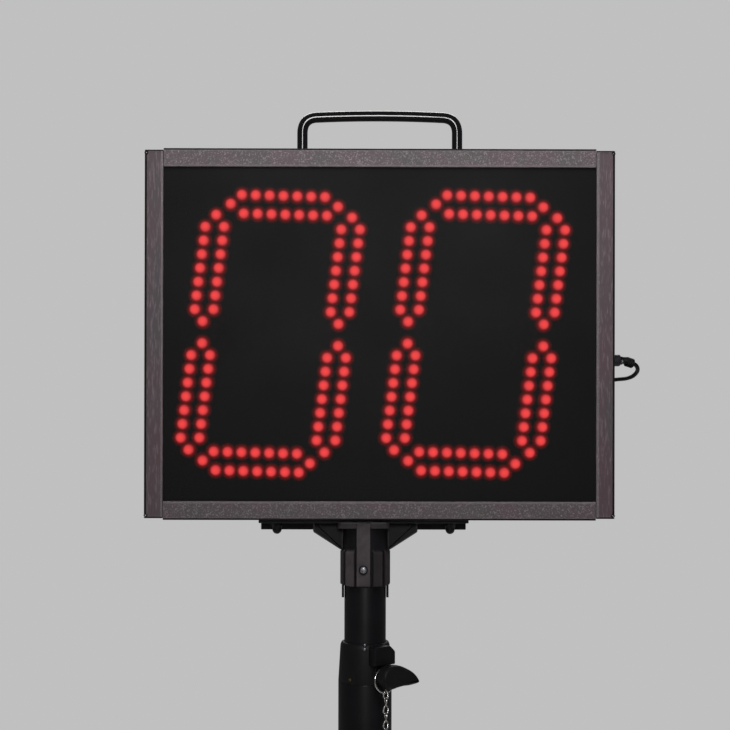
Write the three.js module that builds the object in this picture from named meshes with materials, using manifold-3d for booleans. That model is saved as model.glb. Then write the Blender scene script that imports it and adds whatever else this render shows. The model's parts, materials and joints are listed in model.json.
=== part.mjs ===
// Portable two-digit shot clock on a telescopic tripod stand.
// Millimetres, +Z up. The display faces -Y and the floor is the plane z = 0.

import * as THREE from 'three';
import { mergeVertices } from 'three/addons/utils/BufferGeometryUtils.js';
import Module from 'manifold-3d';

const wasm = await Module();
wasm.setup();

// Fits shared by all pieces
const clearance = 0.3; // gap between pieces that touch
const hingePlay = 0.5; // gap beside a part that swings
const overrun = 6; // how far a cutting solid runs past its piece

// Case frame
const caseWidth = 390;
const caseHeight = 308;
const caseDepth = 50;
const railFace = 15.5;
const railWall = 2.5;
const railEdge = 1.8; // rounding of the outer long edges
const sideRailStep = 1.5; // side rails end this far inside the top and bottom rails
const caseOffset = 11.5; // middle of the case to the right of the pole

// Front filter, digit boards and their light dots
const filterThickness = 3;
const filterHold = 6; // filter edge kept behind the rail faces
const boardLeftMargin = 5.4; // board edge inside the face of the left rail
const boardRightMargin = 16.4;
const boardEndMargin = 15.5;
const boardGap = 5.2;
const boardThickness = 1.6;
const ledRadius = 4.1;
const ledHeight = 6;
const ledRowSpacing = 15.6;
const ledRowShift = 1.6; // lower row of a level segment sits this far to the right
const ledRowDots = 7;
const ledEndShare = 3.87; // end dot from the middle of its segment, of the dots' pitch
const levelPitchShare = 0.0696; // pitch of the dots in a level row, of the board's width
const uprightPitchShare = 0.047; // pitch of the dots in a column, of the board's height
const digitReachShare = 0.341; // digit middle to an upright segment, of the board's width
const digitRiseShare = 0.435; // digit middle to the top segment, of the board's height
const digitLift = 0.7; // digits above the case middle
const stripThickness = 2;
const stripMargin = 1.2;
const digitSlant = 6.12; // degrees, whole digit
const digitTilt = 1.05; // degrees, whole digit falls to the right
const columnSlant = 7.15; // degrees, dot columns lean right
const rowTilt = 1.45; // degrees, dot rows fall to the right

// Inner tray with its electronics
const trayThickness = 1.5;
const standoffRadius = 3;
const standoffHeight = 5;
const controllerWidth = 120;
const controllerHeight = 80;
const controllerX = 40;
const controllerZ = 70;
const chipRise = 5;
const radioWidth = 50;
const radioHeight = 34;
const radioInset = 85; // radio middle from the outer face of the left rail
const radioDrop = 62; // radio middle below the top of the case
const radioCanRise = 3;
const aerialRadius = 2;
const aerialLength = 26;

// Rear cover and what sits in it
const coverThickness = 2;
const coverMargin = 3; // rear cover is smaller than the case by this much all round
const ventLength = 46;
const ventHeight = 4;
const ventPitch = 10;
const ventInset = 77; // vent middle from the outer face of the side rail
const ventDrop = 84; // vent middle below the top of the case
const ventRows = 5;
const hornRadius = 27;
const hornThroatRadius = 12;
const hornDepth = 16;
const hornRimDepth = 4;
const hornInset = 65; // horn middle from the outer face of the left rail
const hornRise = 62; // horn middle above the underside of the case
const grilleHoles = 6;
const grilleHoleRadius = 3.5;
const grilleRing = 12;
const switchInset = 60; // switch middle from the outer face of the left rail
const switchFrameWidth = 21;
const switchFrameHeight = 30;
const switchFlange = 2;
const switchBodyWall = 3;
const switchBodyDepth = 14;
const rockerWidth = 12;
const rockerHeight = 21;
const rockerDepth = 9;
const rockerCrown = 2.4; // rocker ends stand this far above its middle
const rockerPinRadius = 1.5;
const rockerPinLength = 2;
const rockerTilt = 8; // degrees, pressed side

// Battery box behind the rear cover, with its pack and cable gland
const batteryBoxWidth = 170;
const batteryBoxHeight = 88;
const batteryBoxDepth = 34;
const batteryBoxWall = 2.5;
const batteryBoxZ = -50;
const cellRadius = 9.2;
const cellLength = 65;
const cellCount = 7;
const glandZ = -40;
const glandRadius = 6.5;
const glandThreadRadius = 4.2;
const glandLength = 11;
const glandNutShare = 0.55; // straight stretch of the gland's nut, of its length
const glandTipShare = 0.75; // radius of the nut's tapered end, of its own radius
const glandBore = 2.1;
const glandInside = 8;

// Side socket, its plug and the thin lead
const socketZ = -21;
const socketNutRadius = 5;
const socketNutLength = 8.3;
const socketNeckRadius = 4;
const socketNeckLength = 2;
const socketBodyRadius = 5.8;
const socketBodyLength = 12;
const plugRadius = 4.15;
const plugGroove = 0.6;
const plugLength = 10.3;
const plugFerrule = 4.5;
const plugBodyStart = 3; // ribbed body along the drooping axis
const plugRibs = 4;
const plugDroop = 15; // degrees, the plug hangs down under its lead
const plugYaw = 25; // degrees, and is drawn back towards the rear
const leadRadius = 1.75;
const leadSteps = 38;

// Carry handle
const handleRodRadius = 4;
const handleSpan = 130;
const handleRise = 29.7; // middle of the rod above the case
const handleBow = 1.2; // middle of the grip above its ends
const handleCorner = 13.5;
const handleSteps = 24;
const handleScrewRadius = 2;
const handleScrewHead = 4.2;
const handleScrewHeadHeight = 3;
const handleScrewReach = 10;

// Pole bracket under the case
const barLength = 175;
const barOffset = 1.5; // middle of the bar to the left of the pole
const barFront = 17;
const barBack = 19;
const barThickness = 3;
const barFlange = 12;
const bracketDepth = 56; // case underside to the socket's lower end
const socketWall = 1.3;
const socketTop = 6; // closed top of the pole socket below the case
const padSize = 43;
const padDepth = 7.5;
const ribRise = 1.5;
const ribWidth = 9;
const frontRibWidth = 11.6;
const ribTop = 24;
const ribSlope = 4;
const ribCount = 10;
const ribTurn = -4.6; // degrees, rib pattern about the pole
const gussetReach = 44;
const gussetDrop = 27; // lower end of the gusset below the case
const gussetThickness = 5;
const tongueLength = 11;
const tongueThickness = 1.9;
const tongueWidth = 8;
const boltSpacing = 146;
const boltRadius = 2.5;
const boltReach = 9;
const capNutRadius = 4.6;
const capNutHeight = 4;
const capNutLength = 10; // with its dome
const capNutDome = 3.9;
const lockScrewRise = 13.3;
const lockScrewRadius = 2;
const lockScrewHeadRadius = 3.2;
const lockScrewHeadHeight = 1.6;

// Telescopic pole
const upperTubeRadius = 17.5;
const upperTubeWall = 2;
const upperTubeShown = 48; // between the pole socket and the clamp collar
const upperTubeLength = 540;
const lowerTubeRadius = 22.5;
const lowerTubeWall = 2;
const lowerTubeTop = 607;
const plugTailHeight = 25;
const plugTailFloor = 3;

// Clamp collar, wing knob, ring, chain and locking pin
const collarRadius = 20.8;
const collarHeight = 33;
const collarChamfer = 2.5;
const spigotLength = 38;
const knobTurn = 38; // degrees, knob direction to the right of the front
const lugWidth = 21;
const lugTop = 1;
const lugHeight = 16;
const lugReach = 27;
const lugChamfer = 5;
const knobDrop = 25.4; // knob axis below the collar's upper end
const bossRadius = 7;
const bossReach = 24.2;
const knobScrewRadius = 4;
const knobNeckRadius = 5.5;
const knobNeckEnd = 28;
const knobHubRadius = 9.7;
const knobHubEnd = 40;
const knobTipShare = 0.85; // radius of the hub's outer end, of its radius at the neck
const wingReach = 30;
const wingThickness = 5;
const ringRadius = 9.4;
const ringWire = 0.8;
const ringPlace = 26.2;
const linkLength = 8;
const linkWidth = 4.8;
const linkWire = 1.2;
const chainLength = 58; // from the ring to the last link's lower end
const pinRadius = 2.6;
const pinLength = 46;
const pinEyeRadius = 4;
const pinEyeHole = 2.2;

// Tripod
const footRadius = 15;
const footFlat = 13; // middle of the foot ball above the floor
const footCupRadius = 14.6;
const footCupLength = 34;
const legSize = 20;
const legWall = 1.6;
const legLength = 440;
const legSpread = 58; // degrees from the pole, opened
const legHinge = 53; // hinge axis from the pole axis
const legPinRadius = 3;
const braceHinge = 31;
const braceHingeRise = 64;
const braceJoin = 200; // along the leg from its hinge
const braceThickness = 3;
const braceWidth = 12;
const bracePinRadius = 3.5;
const slideRadius = 29;
const slideHeight = 40;
const slideDrop = 22; // sleeve below the leg hinge axis
const earThickness = 4;
const earRadius = 9;
const slideKnobRadius = 13;
const slideKnobStem = 4;
const slideKnobStart = 36;
const slideKnobLength = 16;
const slideKnobLobes = 6;
const slideKnobGroove = 2.2;
const hubRadius = 26;
const hubHeight = 28;
const hubFloor = 3;
const hubTongueRadius = 6;
const legTurns = [90, 210, 330];

// Facet counts of round pieces
const tubeSides = 24;
const rodSides = 12;
const smallSides = 8;
const ledSides = 6;
const ballSides = 10;
const edgeSteps = 3;

// Places worked out from the sizes above
const foldDrop = THREE.MathUtils.degToRad(legSpread);
const stanceRadius = legHinge + legLength * Math.sin(foldDrop);
const legHingeRise = footFlat + legLength * Math.cos(foldDrop);
const stanceShift = -stanceRadius / 4;
const collarTop = lowerTubeTop + collarHeight;
const socketLow = collarTop + upperTubeShown;
const caseLow = socketLow + bracketDepth;
const caseMiddle = caseLow + caseHeight / 2;
const windowWidth = caseWidth - 2 * railFace;
const windowHeight = caseHeight - 2 * railFace;
const boardWidth = (windowWidth - boardLeftMargin - boardRightMargin - boardGap) / 2;
const boardHeight = windowHeight - 2 * boardEndMargin;
const digitReach = boardWidth * digitReachShare;
const digitRise = boardHeight * digitRiseShare;
const radioX = radioInset - caseWidth / 2;
const radioZ = caseHeight / 2 - radioDrop;
const ventX = caseWidth / 2 - ventInset;
const ventZ = caseHeight / 2 - ventDrop;
const hornX = hornInset - caseWidth / 2;
const hornZ = hornRise - caseHeight / 2;
const switchX = switchInset - caseWidth / 2;
const frontPlane = -caseDepth / 2;
const filterFront = frontPlane + railWall + clearance;
const filterBack = filterFront + filterThickness;
const stripBack = filterBack + clearance + ledHeight + stripThickness;
const boardFront = stripBack + clearance;
const boardBack = boardFront + boardThickness;
const trayFront = boardBack + clearance;
const trayBack = trayFront + trayThickness;
const coverFront = caseDepth / 2 + clearance;
const coverBack = coverFront + coverThickness;
const boxFront = coverBack + clearance;
const boxBack = boxFront + batteryBoxDepth;
const boxMiddle = (boxFront + boxBack) / 2;
const socketBore = upperTubeRadius + clearance;
const socketRadius = socketBore + socketWall;
const spigotRadius = lowerTubeRadius - lowerTubeWall - clearance;

// Basic solids

function vec(x, y, z) {
  return new THREE.Vector3(x, y, z);
}

function polar(radius, degrees, z) {
  const angle = THREE.MathUtils.degToRad(degrees);
  return vec(radius * Math.cos(angle), radius * Math.sin(angle), z);
}

// Axis-aligned block between two limits on each axis
function block(x0, x1, y0, y1, z0, z1) {
  const geometry = new THREE.BoxGeometry(Math.abs(x1 - x0), Math.abs(y1 - y0), Math.abs(z1 - z0));
  geometry.translate((x0 + x1) / 2, (y0 + y1) / 2, (z0 + z1) / 2);
  return geometry;
}

// Round rod between two points, tapering where a second radius is given
function rod(start, end, radius, sides, endRadius = radius) {
  const along = end.clone().sub(start);
  const geometry = new THREE.CylinderGeometry(endRadius, radius, along.length(), sides);
  const turn = new THREE.Quaternion().setFromUnitVectors(vec(0, 1, 0), along.normalize());
  geometry.applyQuaternion(turn);
  const middle = start.clone().add(end).multiplyScalar(1 / 2);
  geometry.translate(middle.x, middle.y, middle.z);
  return geometry;
}

// Turned solid about Z from an outline of [radius, height] points that runs upwards outside
function turned(outline, sides) {
  const points = outline.map(([radius, height]) => new THREE.Vector2(radius, height));
  const geometry = new THREE.LatheGeometry(points, sides);
  geometry.rotateX(Math.PI / 2);
  return geometry;
}

function shapeOf(outline) {
  return new THREE.Shape(outline.map(([a, b]) => new THREE.Vector2(a, b)));
}

// Outline in X and Y, raised along Z
function column(outline, z0, z1) {
  const geometry = new THREE.ExtrudeGeometry(shapeOf(outline), { depth: z1 - z0, bevelEnabled: false });
  geometry.translate(0, 0, z0);
  return geometry;
}

// Outline in Y and Z, drawn out along X
function beam(outline, x0, x1) {
  const geometry = new THREE.ExtrudeGeometry(shapeOf(outline), { depth: x1 - x0, bevelEnabled: false });
  const axes = new THREE.Matrix4().makeBasis(vec(0, 1, 0), vec(0, 0, 1), vec(1, 0, 0));
  geometry.applyMatrix4(axes);
  geometry.translate(x0, 0, 0);
  return geometry;
}

// Outline in X and Z, drawn out along Y
function slab(outline, y0, y1) {
  const geometry = new THREE.ExtrudeGeometry(shapeOf(outline), { depth: y1 - y0, bevelEnabled: false });
  const axes = new THREE.Matrix4().makeBasis(vec(1, 0, 0), vec(0, 0, 1), vec(0, -1, 0));
  geometry.applyMatrix4(axes);
  geometry.translate(0, y1, 0);
  return geometry;
}

// Points of an arc, angles in degrees
function arc(centreA, centreB, radius, from, to, steps) {
  const points = [];
  for (let i = 0; i <= steps; i += 1) {
    const angle = THREE.MathUtils.degToRad(from + (to - from) * i / steps);
    points.push([centreA + radius * Math.cos(angle), centreB + radius * Math.sin(angle)]);
  }
  return points;
}

// Joining and cutting

function solidOf(geometry) {
  const bare = geometry.clone();
  bare.deleteAttribute('normal');
  bare.deleteAttribute('uv');
  const merged = mergeVertices(bare);
  return new wasm.Manifold(new wasm.Mesh({
    numProp: 3,
    vertProperties: new Float32Array(merged.attributes.position.array),
    triVerts: new Uint32Array(merged.index.array),
  }));
}

function geometryOf(solid) {
  const mesh = solid.getMesh();
  const geometry = new THREE.BufferGeometry();
  geometry.setAttribute('position', new THREE.BufferAttribute(new Float32Array(mesh.vertProperties), 3));
  geometry.setIndex(new THREE.BufferAttribute(new Uint32Array(mesh.triVerts), 1));
  geometry.computeVertexNormals();
  return geometry;
}

// All the first geometries joined, less all the second ones
function carve(joined, cuts = []) {
  let solid = solidOf(joined[0]);
  for (const geometry of joined.slice(1)) {
    solid = solid.add(solidOf(geometry));
  }
  for (const geometry of cuts) {
    solid = solid.subtract(solidOf(geometry));
  }
  return geometryOf(solid);
}

// Materials

function paint(color, roughness, metalness) {
  return new THREE.MeshStandardMaterial({ color, roughness, metalness });
}

const sandedAluminium = paint(0x5e585b, 0.6, 0.7);
const smokedAcrylic = paint(0x1e1e1e, 0.5, 0);
const redLens = paint(0xff4040, 0.3, 0);
const blackBoard = paint(0x16181a, 0.6, 0);
const greenBoard = paint(0x1f4a32, 0.6, 0);
const bareSheet = paint(0xa8abad, 0.4, 0.8);
const blackEnamel = paint(0x121214, 0.25, 0.3);
const blackPlastic = paint(0x1c1b1e, 0.5, 0);
const castPlastic = paint(0x38323a, 0.45, 0);
const cellWrap = paint(0x2f5f9e, 0.5, 0);
const brightSteel = paint(0xc8cace, 0.2, 1);
const blackRubber = paint(0x141414, 0.9, 0);

// Case frame pieces

function sideRail(side) {
  const half = caseHeight / 2 - sideRailStep;
  const outer = caseWidth / 2;
  const inner = outer - railFace;
  const deep = caseDepth / 2;
  const outline = [
    [inner, -deep],
    ...arc(outer - railEdge, -deep + railEdge, railEdge, -90, 0, edgeSteps),
    ...arc(outer - railEdge, deep - railEdge, railEdge, 0, 90, edgeSteps),
    [inner, deep],
  ].map(([x, y]) => [side * x, y]);
  const hollow = block(
    side * (inner - overrun), side * (outer - railWall),
    -deep + railWall, deep - railWall,
    -half + railWall, half - railWall,
  );
  const cuts = [hollow];
  if (side > 0) {
    const from = vec(outer - railWall - overrun, 0, socketZ);
    const to = vec(outer + overrun, 0, socketZ);
    cuts.push(rod(from, to, socketNeckRadius + clearance, rodSides));
  }
  return carve([column(outline, -half, half)], cuts);
}

function levelRail(side, holes) {
  const half = caseWidth / 2 - railFace - clearance;
  const outer = caseHeight / 2;
  const inner = outer - railFace;
  const deep = caseDepth / 2;
  const outline = [
    [-deep, inner],
    [-deep + railWall, inner],
    [-deep + railWall, outer - railWall],
    [deep - railWall, outer - railWall],
    [deep - railWall, inner],
    [deep, inner],
    ...arc(deep - railEdge, outer - railEdge, railEdge, 0, 90, edgeSteps),
    ...arc(-deep + railEdge, outer - railEdge, railEdge, 90, 180, edgeSteps),
  ].map(([y, z]) => [y, side * z]);
  const cuts = holes.map(([x, radius]) => rod(
    vec(x, 0, side * (outer - railWall - overrun)), vec(x, 0, side * (outer + overrun)), radius, smallSides,
  ));
  return carve([beam(outline, -half, half)], cuts);
}

function frontFilter() {
  const halfWidth = windowWidth / 2 + filterHold;
  const halfHeight = windowHeight / 2 + filterHold;
  return block(-halfWidth, halfWidth, filterFront, filterBack, -halfHeight, halfHeight);
}

// Digits

function digitMiddle(side) {
  const left = boardLeftMargin + boardWidth / 2 - windowWidth / 2;
  return side < 0 ? left : left + boardWidth + boardGap;
}

function digitBoard(side) {
  const middle = digitMiddle(side);
  const high = boardHeight / 2;
  return block(middle - boardWidth / 2, middle + boardWidth / 2, boardFront, boardBack, -high, high);
}

// Middle of each segment as shares of the digit's rise and reach, and whether it is level
const segmentShares = {
  a: [1, 0, true],
  b: [1 / 2, 1, false],
  c: [-1 / 2, 1, false],
  d: [-1, 0, true],
  e: [-1 / 2, -1, false],
  f: [1 / 2, -1, false],
  g: [0, 0, true],
};

// One segment: sixteen lenses on a thin pointed strip
function ledSegment(side, letter) {
  const [riseShare, reachShare, level] = segmentShares[letter];
  const rise = riseShare * digitRise;
  const reach = reachShare * digitReach;
  const middleX = digitMiddle(side) + reach + rise * Math.tan(THREE.MathUtils.degToRad(digitSlant));
  const middleZ = digitLift + rise - reach * Math.tan(THREE.MathUtils.degToRad(digitTilt));
  const row = THREE.MathUtils.degToRad(rowTilt);
  const lean = THREE.MathUtils.degToRad(columnSlant);
  const along = level ? [Math.cos(row), -Math.sin(row)] : [Math.sin(lean), Math.cos(lean)];
  const across = level ? [-ledRowShift / 2, ledRowSpacing / 2] : [ledRowSpacing / 2, 0];
  const place = (far, wide) => [
    middleX + far * along[0] + wide * across[0],
    middleZ + far * along[1] + wide * across[1],
  ];
  const pitch = level ? boardWidth * levelPitchShare : boardHeight * uprightPitchShare;
  const rowEnd = (ledRowDots - 1) / 2 * pitch;
  const end = ledEndShare * pitch;
  const rim = ledRadius + stripMargin;
  const broad = 1 + rim / (ledRowSpacing / 2);
  const strip = [
    place(-end - rim, 0),
    place(-rowEnd - rim / 2, -broad),
    place(rowEnd + rim / 2, -broad),
    place(end + rim, 0),
    place(rowEnd + rim / 2, broad),
    place(-rowEnd - rim / 2, broad),
  ];
  const dots = [place(-end, 0), place(end, 0)];
  for (let i = 0; i < ledRowDots; i += 1) {
    const far = i * pitch - rowEnd;
    dots.push(place(far, -1), place(far, 1));
  }
  const tip = filterBack + clearance;
  const lenses = dots.map(([x, z]) => rod(
    vec(x, tip, z), vec(x, stripBack - stripThickness / 2, z), ledRadius, ledSides,
  ));
  return carve([slab(strip, stripBack - stripThickness, stripBack), ...lenses]);
}

// Inner tray, boards and horn

function boardPosts(middleX, middleZ, width, height) {
  const posts = [];
  for (const a of [-1, 1]) {
    for (const b of [-1, 1]) {
      const x = middleX + a * (width / 2 - 2 * standoffRadius);
      const z = middleZ + b * (height / 2 - 2 * standoffRadius);
      posts.push(rod(vec(x, trayFront, z), vec(x, trayBack + standoffHeight, z), standoffRadius, smallSides));
    }
  }
  return posts;
}

function innerTray() {
  const half = caseWidth / 2 - railWall - clearance;
  const high = caseHeight / 2 - sideRailStep - railWall - clearance;
  const back = caseDepth / 2 - railWall - clearance;
  const outline = [
    [-half, trayFront],
    [half, trayFront],
    [half, back],
    [half - trayThickness, back],
    [half - trayThickness, trayBack],
    [-half + trayThickness, trayBack],
    [-half + trayThickness, back],
    [-half, back],
  ];
  const reach = [
    vec(half - trayThickness - overrun, 0, socketZ),
    vec(half + overrun, 0, socketZ),
  ];
  return carve([
    column(outline, -high, high),
    ...boardPosts(controllerX, controllerZ, controllerWidth, controllerHeight),
    ...boardPosts(radioX, radioZ, radioWidth, radioHeight),
  ], [rod(reach[0], reach[1], socketBodyRadius + clearance, rodSides)]);
}

function raisedBoard(middleX, middleZ, width, height, chips, rise) {
  const front = trayBack + standoffHeight + clearance;
  const back = front + boardThickness;
  const plate = block(
    middleX - width / 2, middleX + width / 2, front, back, middleZ - height / 2, middleZ + height / 2,
  );
  const bodies = chips.map(([x0, x1, z0, z1]) => block(
    middleX + x0 * width, middleX + x1 * width,
    front + boardThickness / 2, back + rise,
    middleZ + z0 * height, middleZ + z1 * height,
  ));
  return [plate, ...bodies];
}

// Chip outlines as shares of the board that carries them
const controllerShares = [
  [-0.12, 0.12, -0.18, 0.18],
  [-0.44, -0.28, -0.36, 0.3],
  [0.24, 0.42, 0.08, 0.38],
  [0.22, 0.42, -0.36, -0.08],
  [-0.16, 0.14, -0.44, -0.3],
];
const radioShares = [[-0.36, 0.2, -0.34, 0.34]];

function controllerBoard() {
  return carve(raisedBoard(
    controllerX, controllerZ, controllerWidth, controllerHeight, controllerShares, chipRise,
  ));
}

function radioModule() {
  const parts = raisedBoard(radioX, radioZ, radioWidth, radioHeight, radioShares, radioCanRise);
  const level = trayBack + standoffHeight + clearance + boardThickness / 2;
  const aerialX = radioX + radioWidth / 2 - aerialRadius * 2;
  const aerialZ = radioZ + radioHeight / 2 - aerialRadius;
  const base = vec(aerialX, level, aerialZ);
  const tip = vec(aerialX, level, aerialZ + aerialLength);
  return carve([...parts, rod(base, tip, aerialRadius, smallSides)]);
}

function horn() {
  const back = coverFront - clearance;
  const outline = [
    [0, 0],
    [hornThroatRadius, 0],
    [hornThroatRadius, (hornDepth - hornRimDepth) / 2],
    [hornRadius, hornDepth - hornRimDepth],
    [hornRadius, hornDepth],
    [0, hornDepth],
  ];
  const geometry = turned(outline, rodSides);
  geometry.rotateX(-Math.PI / 2);
  geometry.translate(hornX, back - hornDepth, hornZ);
  return geometry;
}

// Rear cover, rocker switch and battery box

function rearCover() {
  const halfWidth = caseWidth / 2 - coverMargin;
  const halfHeight = caseHeight / 2 - coverMargin;
  const cuts = [];
  for (const side of [-1, 1]) {
    for (let i = 0; i < ventRows; i += 1) {
      const z = ventZ + (i - (ventRows - 1) / 2) * ventPitch;
      cuts.push(block(
        side * ventX - ventLength / 2, side * ventX + ventLength / 2,
        coverFront - overrun, coverBack + overrun, z - ventHeight / 2, z + ventHeight / 2,
      ));
    }
  }
  const grille = [vec(0, 0, 0)];
  for (let i = 0; i < grilleHoles; i += 1) {
    grille.push(polar(grilleRing, i * 360 / grilleHoles, 0));
  }
  for (const spot of grille) {
    cuts.push(rod(
      vec(hornX + spot.x, coverFront - overrun, hornZ + spot.y),
      vec(hornX + spot.x, coverBack + overrun, hornZ + spot.y), grilleHoleRadius, smallSides,
    ));
  }
  const holeX = switchFrameWidth / 2 - switchFlange + clearance;
  const holeZ = switchFrameHeight / 2 - switchFlange + clearance;
  cuts.push(block(
    switchX - holeX, switchX + holeX, coverFront - overrun, coverBack + overrun, -holeZ, holeZ,
  ));
  return carve([block(-halfWidth, halfWidth, coverFront, coverBack, -halfHeight, halfHeight)], cuts);
}

function switchFrame() {
  const flangeFront = coverBack + clearance;
  const flangeBack = flangeFront + switchFlange;
  const wide = switchFrameWidth / 2;
  const tall = switchFrameHeight / 2;
  const slotX = rockerWidth / 2 + clearance;
  const slotZ = rockerHeight / 2 + 3 * clearance;
  const bodyX = wide - switchFlange;
  const bodyZ = tall - switchFlange;
  const flange = block(-wide, wide, flangeFront, flangeBack, -tall, tall);
  const bodyFront = flangeBack - switchBodyDepth;
  const body = block(-bodyX, bodyX, bodyFront, flangeFront + switchFlange / 2, -bodyZ, bodyZ);
  const well = block(-slotX, slotX, bodyFront + switchBodyWall, flangeBack + overrun, -slotZ, slotZ);
  const pinEnd = rockerWidth / 2 + rockerPinLength + clearance;
  const pinHole = rod(
    vec(-pinEnd, flangeFront, 0), vec(pinEnd, flangeFront, 0), rockerPinRadius + clearance, smallSides,
  );
  return carve([flange, body], [well, pinHole]);
}

// Rocker about its own pivot: the crown faces +Y
function powerRocker() {
  const tall = rockerHeight / 2;
  const wide = rockerWidth / 2;
  const crown = switchFlange + rockerCrown;
  const outline = [
    [crown, -tall],
    [switchFlange, 0],
    [crown, tall],
    [crown - rockerDepth / 2, tall],
    [crown - rockerDepth, 0],
    [crown - rockerDepth / 2, -tall],
  ];
  const pinEnd = wide + rockerPinLength;
  const pin = rod(vec(-pinEnd, 0, 0), vec(pinEnd, 0, 0), rockerPinRadius, smallSides);
  return carve([beam(outline, -wide, wide), pin]);
}

function batteryBox() {
  const wide = batteryBoxWidth / 2;
  const low = batteryBoxZ - batteryBoxHeight / 2;
  const high = batteryBoxZ + batteryBoxHeight / 2;
  const outer = [
    [-wide, boxFront],
    [wide, boxFront],
    ...arc(wide - 2 * batteryBoxWall, boxBack - 2 * batteryBoxWall, 2 * batteryBoxWall, 0, 90, edgeSteps),
    ...arc(-wide + 2 * batteryBoxWall, boxBack - 2 * batteryBoxWall, 2 * batteryBoxWall, 90, 180, edgeSteps),
  ];
  const hollow = block(
    -wide + batteryBoxWall, wide - batteryBoxWall, boxFront - overrun, boxBack - batteryBoxWall,
    low + batteryBoxWall, high - batteryBoxWall,
  );
  const glandHole = rod(
    vec(wide - batteryBoxWall - overrun, boxMiddle, glandZ), vec(wide + overrun, boxMiddle, glandZ),
    glandThreadRadius + clearance, rodSides,
  );
  return carve([column(outer, low, high)], [hollow, glandHole]);
}

// Cells side by side in one wrap, standing on the floor of the battery box
function batteryPack() {
  const pitch = 2 * cellRadius - clearance;
  const low = batteryBoxZ - batteryBoxHeight / 2 + batteryBoxWall + clearance;
  const back = boxBack - batteryBoxWall - clearance;
  const cells = [];
  for (let i = 0; i < cellCount; i += 1) {
    const x = (i - (cellCount - 1) / 2) * pitch - cellRadius;
    const y = back - cellRadius;
    cells.push(rod(vec(x, y, low), vec(x, y, low + cellLength), cellRadius, smallSides));
  }
  return carve(cells);
}

function leadGland() {
  const outline = [
    [glandBore, -glandInside],
    [glandThreadRadius, -glandInside],
    [glandThreadRadius, clearance],
    [glandRadius, clearance],
    [glandRadius, glandLength * glandNutShare],
    [glandRadius * glandTipShare, glandLength],
    [glandBore, glandLength],
    [glandBore, -glandInside],
  ];
  const geometry = turned(outline, rodSides);
  geometry.rotateY(Math.PI / 2);
  geometry.translate(batteryBoxWidth / 2, boxMiddle, glandZ);
  return geometry;
}

// Side socket, plug and lead

function sideSocket() {
  const outer = caseWidth / 2;
  const nutEnd = clearance + socketNutLength;
  const outline = [
    [0, -railWall - clearance - socketBodyLength],
    [socketBodyRadius, -railWall - clearance - socketBodyLength],
    [socketBodyRadius, -railWall - clearance],
    [socketNeckRadius, -railWall - clearance],
    [socketNeckRadius, clearance],
    [socketNutRadius, clearance],
    [socketNutRadius, nutEnd],
    [socketNeckRadius, nutEnd],
    [socketNeckRadius, nutEnd + socketNeckLength],
    [0, nutEnd + socketNeckLength],
  ];
  const geometry = turned(outline, rodSides);
  geometry.rotateY(Math.PI / 2);
  geometry.translate(outer, 0, socketZ);
  return geometry;
}

const plugStart = vec(caseWidth / 2 + 2 * clearance + socketNutLength + socketNeckLength, 0, socketZ);
const plugBend = THREE.MathUtils.degToRad(plugDroop);
const plugTurn = THREE.MathUtils.degToRad(plugYaw);
const plugAxis = vec(
  Math.cos(plugBend) * Math.cos(plugTurn), Math.cos(plugBend) * Math.sin(plugTurn), -Math.sin(plugBend),
);
const plugEnd = plugStart.clone().addScaledVector(plugAxis, plugLength);

// Ribbed plug body that droops from a short level ferrule
function leadPlug() {
  const rib = (plugLength - plugBodyStart) / (2 * plugRibs);
  const outline = [[0, plugBodyStart]];
  for (let i = 0; i < plugRibs; i += 1) {
    const from = plugBodyStart + 2 * i * rib;
    outline.push([plugRadius, from], [plugRadius, from + rib]);
    outline.push([plugRadius - plugGroove, from + rib], [plugRadius - plugGroove, from + 2 * rib]);
  }
  outline.push([0, plugLength]);
  const body = turned(outline, smallSides);
  body.rotateY(Math.PI / 2 + plugBend);
  body.rotateZ(plugTurn);
  body.translate(plugStart.x, plugStart.y, plugStart.z);
  const ferruleEnd = plugStart.clone().add(vec(plugFerrule, 0, 0));
  const ferrule = rod(plugStart, ferruleEnd, plugRadius - 2 * plugGroove, smallSides);
  return carve([body, ferrule]);
}

// Lead from the gland, round the edge of the case and up to the plug
function supplyLead() {
  const glandEnd = batteryBoxWidth / 2 + glandLength + clearance;
  const start = vec(glandEnd, boxMiddle, glandZ);
  const end = plugEnd.clone().addScaledVector(plugAxis, clearance);
  const route = [
    start,
    vec(104, 44.7, -40.2),
    vec(118, 45.4, -41.8),
    vec(136, 45.9, -43.6),
    vec(155, 45.8, -44.6),
    vec(173, 44.8, -43.8),
    vec(187, 42.4, -41),
    vec(198, 38.2, -38.6),
    vec(206.6, 32.8, -37.2),
    vec(213, 26.8, -36.4),
    vec(217.4, 20.8, -34.6),
    vec(219.8, 15.6, -31.8),
    vec(220.4, 11.4, -29),
    vec(219.4, 8, -26.6),
    vec(217.4, 5.6, -24.6),
    end,
  ];
  const path = new THREE.CatmullRomCurve3(route, false, 'centripetal');
  const ring = arc(0, 0, leadRadius, 0, 360 - 360 / smallSides, smallSides - 1);
  return new THREE.ExtrudeGeometry(shapeOf(ring), {
    steps: leadSteps, bevelEnabled: false, extrudePath: path,
  });
}

// Carry handle and its screws

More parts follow.
